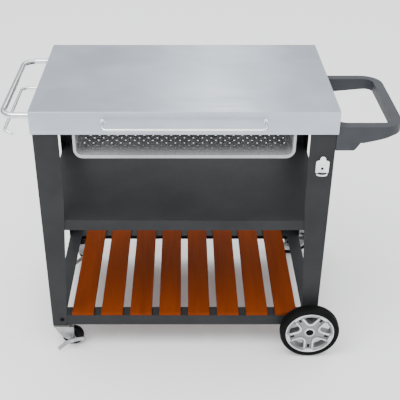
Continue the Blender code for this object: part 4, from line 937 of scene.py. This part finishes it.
class GRIDDLE_OT_wheels(bpy.types.Operator):
    """Models the two spoked wheels, their tyres, the axle and its caps"""
    bl_idname = "griddle.wheels"
    bl_label = "Wheels"

    spokes: bpy.props.IntProperty(name="Spokes", description="Spokes in a wheel", default=5, min=3)
    treads: bpy.props.IntProperty(name="Tread blocks", description="Pairs of blocks round a tyre",
                                  default=48, min=12)
    cap_recess: length("Cap recess", 0.0050, "How far the axle's cap stands back from the tyre's face")
    web_depth: length("Web depth", 0.026, "Depth of the spokes, front to back")

    def execute(self, context):
        for end, side in ENDS:
            low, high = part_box(f"wheel_{end}_tyre")
            centre = (low + high) / 2
            wide, radius = (high.y - low.y) / 2, (high.z - low.z) / 2
            rim = (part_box(f"wheel_{end}_hub")[1].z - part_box(f"wheel_{end}_hub")[0].z) / 2
            # Local +Z points away from the cart, and one spoke points straight down
            turn = (90, 0, 0) if side < 0 else (-90, 0, 0)
            body = f"wheel_{end}"
            piece(place(self.tyre(radius, rim, wide), centre, turn), f"{body}_rubber", "tyre rubber", body,
                  "tyre", f"{body}_tyre", sharp=42)
            hub = piece(place(self.wheel(context, rim, wide, side), centre, turn), f"{body}_spoked_hub",
                        "silver lacquer", body, "silver_hub", f"{body}_hub", sharp=40)
            # Slot 1 holds the painted shade of the recesses and walls, slot 2 the painted shade of the
            # pockets
            for finish in ("painted shade lacquer", "black oxide and painted pocket shade"):
                hub.data.materials.append(bpy.data.materials[finish])
            cap_r = context.scene.griddle_sizes.cap / 2
            cap_z = wide - self.cap_recess
            cap = lathe([(0, cap_z), (cap_r * 0.55, cap_z - 0.0002), (cap_r * 0.88, cap_z - 0.0012),
                         (cap_r, cap_z - 0.0028), (cap_r, cap_z - 0.0058), (cap_r * 0.9, cap_z - 0.0062)],
                        40)
            piece(place(cap, centre, turn), f"{body}_cap", "tyre rubber", body, "black_plastic")
        piece(softened("axle", 0.0, 0.0, 0.0006), "axle_rod", "zinc", "cart", "zinc", "axle")
        return {"FINISHED"}

    def tyre(self, radius, rim, wide):
        """A tyre with a moulded bead line on each wall, two grooves and tread blocks."""
        half = [(rim + 0.0003, wide - 0.0035), (rim + 0.0022, wide - 0.0012), (rim + 0.0060, wide - 0.0006),
                (rim + 0.0068, wide - 0.0012), (rim + 0.0078, wide - 0.0004), (radius - 0.0062,
                                                                               wide - 0.0006),
                (radius - 0.0032, wide - 0.0026), (radius - 0.0012, wide - 0.0060), (radius, wide - 0.0105),
                (radius, 0.0042), (radius - 0.0016, 0.0036), (radius - 0.0016, 0.0022), (radius, 0.0016)]
        profile = half + [(r, -h) for r, h in reversed(half)]
        bm = lathe(profile, self.treads * 2, closed=True)
        bm.faces.ensure_lookup_table()
        blocks = [f for f in bm.faces if f.normal.to_2d().length > 0.7
                  and f.calc_center_median().xy.length > radius - 0.004
                  and 0.005 < abs(f.calc_center_median().z)]
        step = 2 * pi / (self.treads * 2)
        blocks = [f for f in blocks if round(atan2(f.calc_center_median().y,
                                                   f.calc_center_median().x) / step - 0.5) % 2]
        bmesh.ops.inset_region(bm, faces=blocks, thickness=0.0011, depth=-0.0010, use_even_offset=True)
        return bm

    def wheel(self, context, rim, wide, side):
        """Spoked web, rim and boss."""
        width = context.scene.griddle_sizes.spoke_width
        face = wide - 0.0075
        web = self.web(rim, width, face, side)
        lip = lathe([(rim - 0.0055, wide - 0.0050), (rim - 0.0042, wide - 0.0022),
                     (rim - 0.0016, wide - 0.0018), (rim, wide - 0.0032), (rim, -wide + 0.0030),
                     (rim - 0.0030, -wide + 0.0030), (rim - 0.0066, -wide + 0.0075),
                     (rim - 0.0090, -0.0070), (rim - 0.0105, -0.0060), (rim - 0.0105, 0.0),
                     (rim - 0.0084, 0.0010), (rim - 0.0075, wide - 0.0085)], 96, closed=True)
        boss = lathe([(0.0066, face - 0.006), (0.0116, face - 0.006), (0.0126, face - 0.001),
                      (0.0140, face + 0.0002), (0.0170, face - 0.0006), (0.0182, face - 0.004),
                      (0.0182, -wide + 0.006), (0.0170, -wide + 0.004), (0.0066, -wide + 0.004)], 48,
                     closed=True)
        return joined(web, lip, boss)

    def web(self, rim, width, face, side):
        """The spokes: a disc with one window between each pair, ribs round every window and a recess along
        each spoke with a pocket at its outer end. The recess and the window walls are painted darker as
        shade, and the pockets black as painted shade."""
        outer = rim - 0.0060
        half = pi / self.spokes
        down = -pi / 2 if side < 0 else pi / 2
        loops = [[(outer * cos(2 * pi * k / 90), outer * sin(2 * pi * k / 90)) for k in range(90)]]
        window_r = outer - 0.0055
        inner_r = width / 2 / sin(half)
        spread = half - asin(width / 2 / window_r)
        arc = [(window_r * cos(spread * k / 4), window_r * sin(spread * k / 4)) for k in range(-4, 5)]
        window = rounded([(inner_r, 0, 0)] + [(x, y, 0) for x, y in arc], [0.012,
                                                                           0.004] + [0] * 7 + [0.004], 6,
                         True)
        for k in range(self.spokes):
            turn = Matrix.Rotation(down + half + 2 * pi * k / self.spokes, 3, "Z")
            loops.append([(turn @ p).to_2d() for p in window])
        bm = bmesh.new()
        for loop in loops:
            verts = [bm.verts.new((p[0], p[1], face)) for p in loop]
            for pair in zip(verts, verts[1:] + verts[:1]):
                bm.edges.new(pair)
        bmesh.ops.triangle_fill(bm, use_beauty=True, edges=bm.edges[:], normal=(0, 0, 1))
        front = bm.faces[:]
        # A rib along every edge: its rounded outside, its flat and the slope down into the recess
        bmesh.ops.inset_region(bm, faces=front, thickness=0.0015, depth=0.0012, use_boundary=True)
        bmesh.ops.inset_region(bm, faces=front, thickness=0.0046, depth=0.0, use_boundary=True)
        slope = bmesh.ops.inset_region(bm, faces=front, thickness=0.0020, depth=-0.0045, use_boundary=True)
        # Painted shade: the recess and its slopes take the darker lacquer
        for f in front + slope["faces"]:
            f.material_index = 1
        rim_edges = [e for e in bm.edges if e.is_boundary]
        made = bmesh.ops.extrude_edge_only(bm, edges=rim_edges)
        wall = [g for g in made["geom"] if isinstance(g, bmesh.types.BMVert)]
        # Painted shade: the walls of the windows and the rim take the darker lacquer
        for f in (g for g in made["geom"] if isinstance(g, bmesh.types.BMFace)):
            f.material_index = 1
        bmesh.ops.translate(bm, verts=wall, vec=(0, 0, -self.web_depth))
        for v in bm.verts:
            v.co.z -= 0.0020 * max(0.0, 1 - v.co.xy.length / outer)
        pocket_size, pocket_in, pocket_drop = (0.0140, 0.0085, 0.0014), 0.0160, 0.0037
        pockets = []
        for k in range(self.spokes):
            pocket = place(block(pocket_size, 0.0004), (outer - pocket_in, 0, face - pocket_drop))
            pockets.append(place(pocket, (0, 0, 0), (0, 0, degrees(down) + 360 * k / self.spokes)))
        pockets = joined(*pockets)
        # Painted shade: each shallow pocket is filled black to stand in for the shade of a deep hole
        for f in pockets.faces:
            f.material_index = 2
        return joined(bm, pockets)


# ---------------------------------------------------------------- casters

class GRIDDLE_OT_casters(bpy.types.Operator):
    """Models the two swivel casters with their brakes"""
    bl_idname = "griddle.casters"
    bl_label = "Casters"

    def execute(self, context):
        for end, _ in ENDS:
            low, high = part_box(f"caster_wheel_{end}")
            centre = (low + high) / 2
            radius, wide = (high.z - low.z) / 2, (high.y - low.y) / 2
            wheel = lathe([(0.0046, wide - 0.0028), (0.0100, wide - 0.0028), (0.0108, wide - 0.0012),
                           (0.0170, wide - 0.0030), (0.0240, wide - 0.0036), (0.0252, wide - 0.0014),
                           (0.0268, wide - 0.0006), (radius - 0.0040, wide - 0.0006),
                           (radius - 0.0012, wide - 0.0030), (radius, wide - 0.0072),
                           (radius, -wide + 0.0072), (radius - 0.0012, -wide + 0.0030),
                           (radius - 0.0040, -wide + 0.0006), (0.0268, -wide + 0.0006),
                           (0.0252, -wide + 0.0014), (0.0240, -wide + 0.0036), (0.0170, -wide + 0.0030),
                           (0.0108, -wide + 0.0012), (0.0100, -wide + 0.0028), (0.0046, -wide + 0.0028)],
                          64, closed=True)
            piece(place(wheel, centre, (90, 0, 0)), f"caster_{end}_tread", "caster rubber",
                  f"caster_{end}_wheel", "caster_rubber", f"caster_wheel_{end}")
            fork = softened(f"caster_fork_{end}", 0.0, 0.0, 0.0007)
            piece(fork, f"caster_{end}_yoke", "pressed zinc", f"caster_{end}_fork", "zinc",
                  f"caster_fork_{end}")
            mount = softened(f"caster_plate_{end}", 0.0, 0.0, 0.0007)
            low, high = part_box(f"caster_plate_{end}")
            bolts = [(x, y, low.z + 0.0060) for x in (low.x + 0.008, high.x - 0.008)
                     for y in (low.y + 0.008, high.y - 0.008)]
            piece(mount, f"caster_{end}_mount", "zinc", "cart", "zinc", f"caster_plate_{end}")
            screws(bolts, (0, 0, -1), "zinc", f"caster_{end}_bolts", "cart", "zinc", 0.009, False)
            rocker = softened(f"caster_brake_{end}", 0.0, 0.0, 0.0007)
            nut = lathe([(0.0, 0.0030), (0.0030, 0.0030), (0.0034, 0.0024), (0.0036, 0.0012),
                         (0.0052, 0.0012), (0.0058, 0.0006), (0.0060, -0.0006), (0.0, -0.0006)], 32)
            place(nut, (centre.x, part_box(f"caster_fork_{end}")[0].y + 0.0008, centre.z), (90, 0, 0))
            piece(nut, f"caster_{end}_pin_nut", "zinc", f"caster_{end}_fork", "zinc")
            piece(rocker, f"caster_{end}_pedal", "pressed zinc", f"caster_{end}_brake", "chrome",
                  f"caster_brake_{end}")
        return {"FINISHED"}


# ---------------------------------------------------------------- stage

class GRIDDLE_OT_stage(bpy.types.Operator):
    """Sets the pale floor, the soft light and the camera"""
    bl_idname = "griddle.stage"
    bl_label = "Stage"

    camera_back: length("Camera distance", 2.3719, "Camera ahead of the cart's middle")
    camera_up: length("Camera height", 0.9979, "Camera above the lid")
    camera_tilt: bpy.props.FloatProperty(name="Camera tilt",
                                         description="Turn about X from looking straight down",
                                         default=radians(58.928), subtype="ANGLE")
    lens: bpy.props.FloatProperty(name="Lens", description="Focal length in millimetres", default=71.13,
                                  min=1.0)
    shift: bpy.props.FloatVectorProperty(name="Lens shift", description="Framing", size=2,
                                         default=(0.039, -0.025))
    horizon: bpy.props.FloatProperty(name="Horizon", description="Strength of the studio at the horizon",
                                     default=0.35)
    overhead: bpy.props.FloatProperty(name="Overhead", description="Strength of the studio overhead",
                                      default=2.5)

    def execute(self, context):
        scene = context.scene
        floor = bmesh.new()
        bmesh.ops.create_grid(floor, x_segments=1, y_segments=1, size=30)
        data = bpy.data.meshes.new("floor")
        floor.to_mesh(data)
        floor.free()
        ground = bpy.data.objects.new("floor", data)
        scene.collection.objects.link(ground)
        paint = Finish("floor white", (0.90, 0.90, 0.90), 0.85, 0.0, 0.1)
        grain = paint.noise(3.0, 2.0)
        paint.paint("Base Color", paint.mixed(grain, (0.90, 0.90, 0.90), (0.92, 0.92, 0.92)))
        data.materials.append(paint.material)

        scene.world = self.sky()
        self.lamp("key_light", (-1.4, -1.2, 3.2), (40, 0, -40), 2.2, scene.griddle_sizes.key_light)
        self.lamp("front_light", (0.4, -3.6, 1.6), (72, 0, 6), 2.4, 28.0)
        self.lamp("back_light", (0.2, 2.8, 2.5), (-60, 0, 4), 0.7, 6.0)

        camera = bpy.data.cameras.new("camera")
        camera.lens = self.lens
        camera.sensor_width = 36.0
        camera.shift_x, camera.shift_y = self.shift
        camera.clip_end = 60.0
        holder = bpy.data.objects.new("camera", camera)
        holder.location = (TABLE_X, TABLE_Y - self.camera_back, TOP + self.camera_up)
        holder.rotation_euler = (self.camera_tilt, 0, 0)
        scene.collection.objects.link(holder)
        scene.camera = holder
        return {"FINISHED"}

    def sky(self):
        """A white studio that is dimmer round the horizon, which gives polished metal its dark edges."""
        world = bpy.data.worlds.new("studio")
        world.use_nodes = True
        tree = world.node_tree
        split = tree.nodes.new("ShaderNodeSeparateXYZ")
        tree.links.new(tree.nodes.new("ShaderNodeTexCoord").outputs["Generated"], split.inputs["Vector"])
        fade = tree.nodes.new("ShaderNodeMapRange")
        tree.links.new(split.outputs["Z"], fade.inputs["Value"])
        for socket, number in (("From Min", 0.20), ("From Max", 0.70), ("To Min", self.horizon),
                               ("To Max", self.overhead)):
            fade.inputs[socket].default_value = number
        background = tree.nodes["Background"]
        background.inputs["Color"].default_value = (0.985, 0.992, 1.0, 1.0)
        tree.links.new(fade.outputs["Result"], background.inputs["Strength"])
        return world

    def lamp(self, name, at, turn, size, power):
        light = bpy.data.lights.new(name, "AREA")
        light.shape = "DISK"
        light.size = size
        light.energy = power
        holder = bpy.data.objects.new(name, light)
        holder.location = at
        holder.rotation_euler = [radians(a) for a in turn]
        bpy.context.scene.collection.objects.link(holder)


# ---------------------------------------------------------------- panel and registration

STEPS = (GRIDDLE_OT_finishes, GRIDDLE_OT_lid, GRIDDLE_OT_cabinet, GRIDDLE_OT_gas_train, GRIDDLE_OT_frame,
         GRIDDLE_OT_slats, GRIDDLE_OT_tray, GRIDDLE_OT_side_fittings, GRIDDLE_OT_wheels, GRIDDLE_OT_casters,
         GRIDDLE_OT_stage)


class GRIDDLE_PT_panel(bpy.types.Panel):
    """Lists the cart's settings and steps in the sidebar"""
    bl_label = "Griddle Cart"
    bl_idname = "GRIDDLE_PT_panel"
    bl_space_type = "VIEW_3D"
    bl_region_type = "UI"
    bl_category = "Griddle"

    def draw(self, context):
        for group in (context.scene.griddle_colours, context.scene.griddle_sizes):
            column = self.layout.column(align=True)
            for key in group.__annotations__:
                column.prop(group, key)
        column = self.layout.column(align=True)
        for step in STEPS:
            column.operator(step.bl_idname)


CLASSES = (GriddleColours, GriddleSizes, *STEPS, GRIDDLE_PT_panel)


def register():
    for cls in CLASSES:
        bpy.utils.register_class(cls)
    bpy.types.Scene.griddle_colours = bpy.props.PointerProperty(type=GriddleColours)
    bpy.types.Scene.griddle_sizes = bpy.props.PointerProperty(type=GriddleSizes)


def unregister():
    del bpy.types.Scene.griddle_sizes
    del bpy.types.Scene.griddle_colours
    for cls in reversed(CLASSES):
        bpy.utils.unregister_class(cls)


def main():
    register()
    for step in STEPS:
        group, action = step.bl_idname.split(".")
        getattr(getattr(bpy.ops, group), action)()


if __name__ == "__main__":
    main()
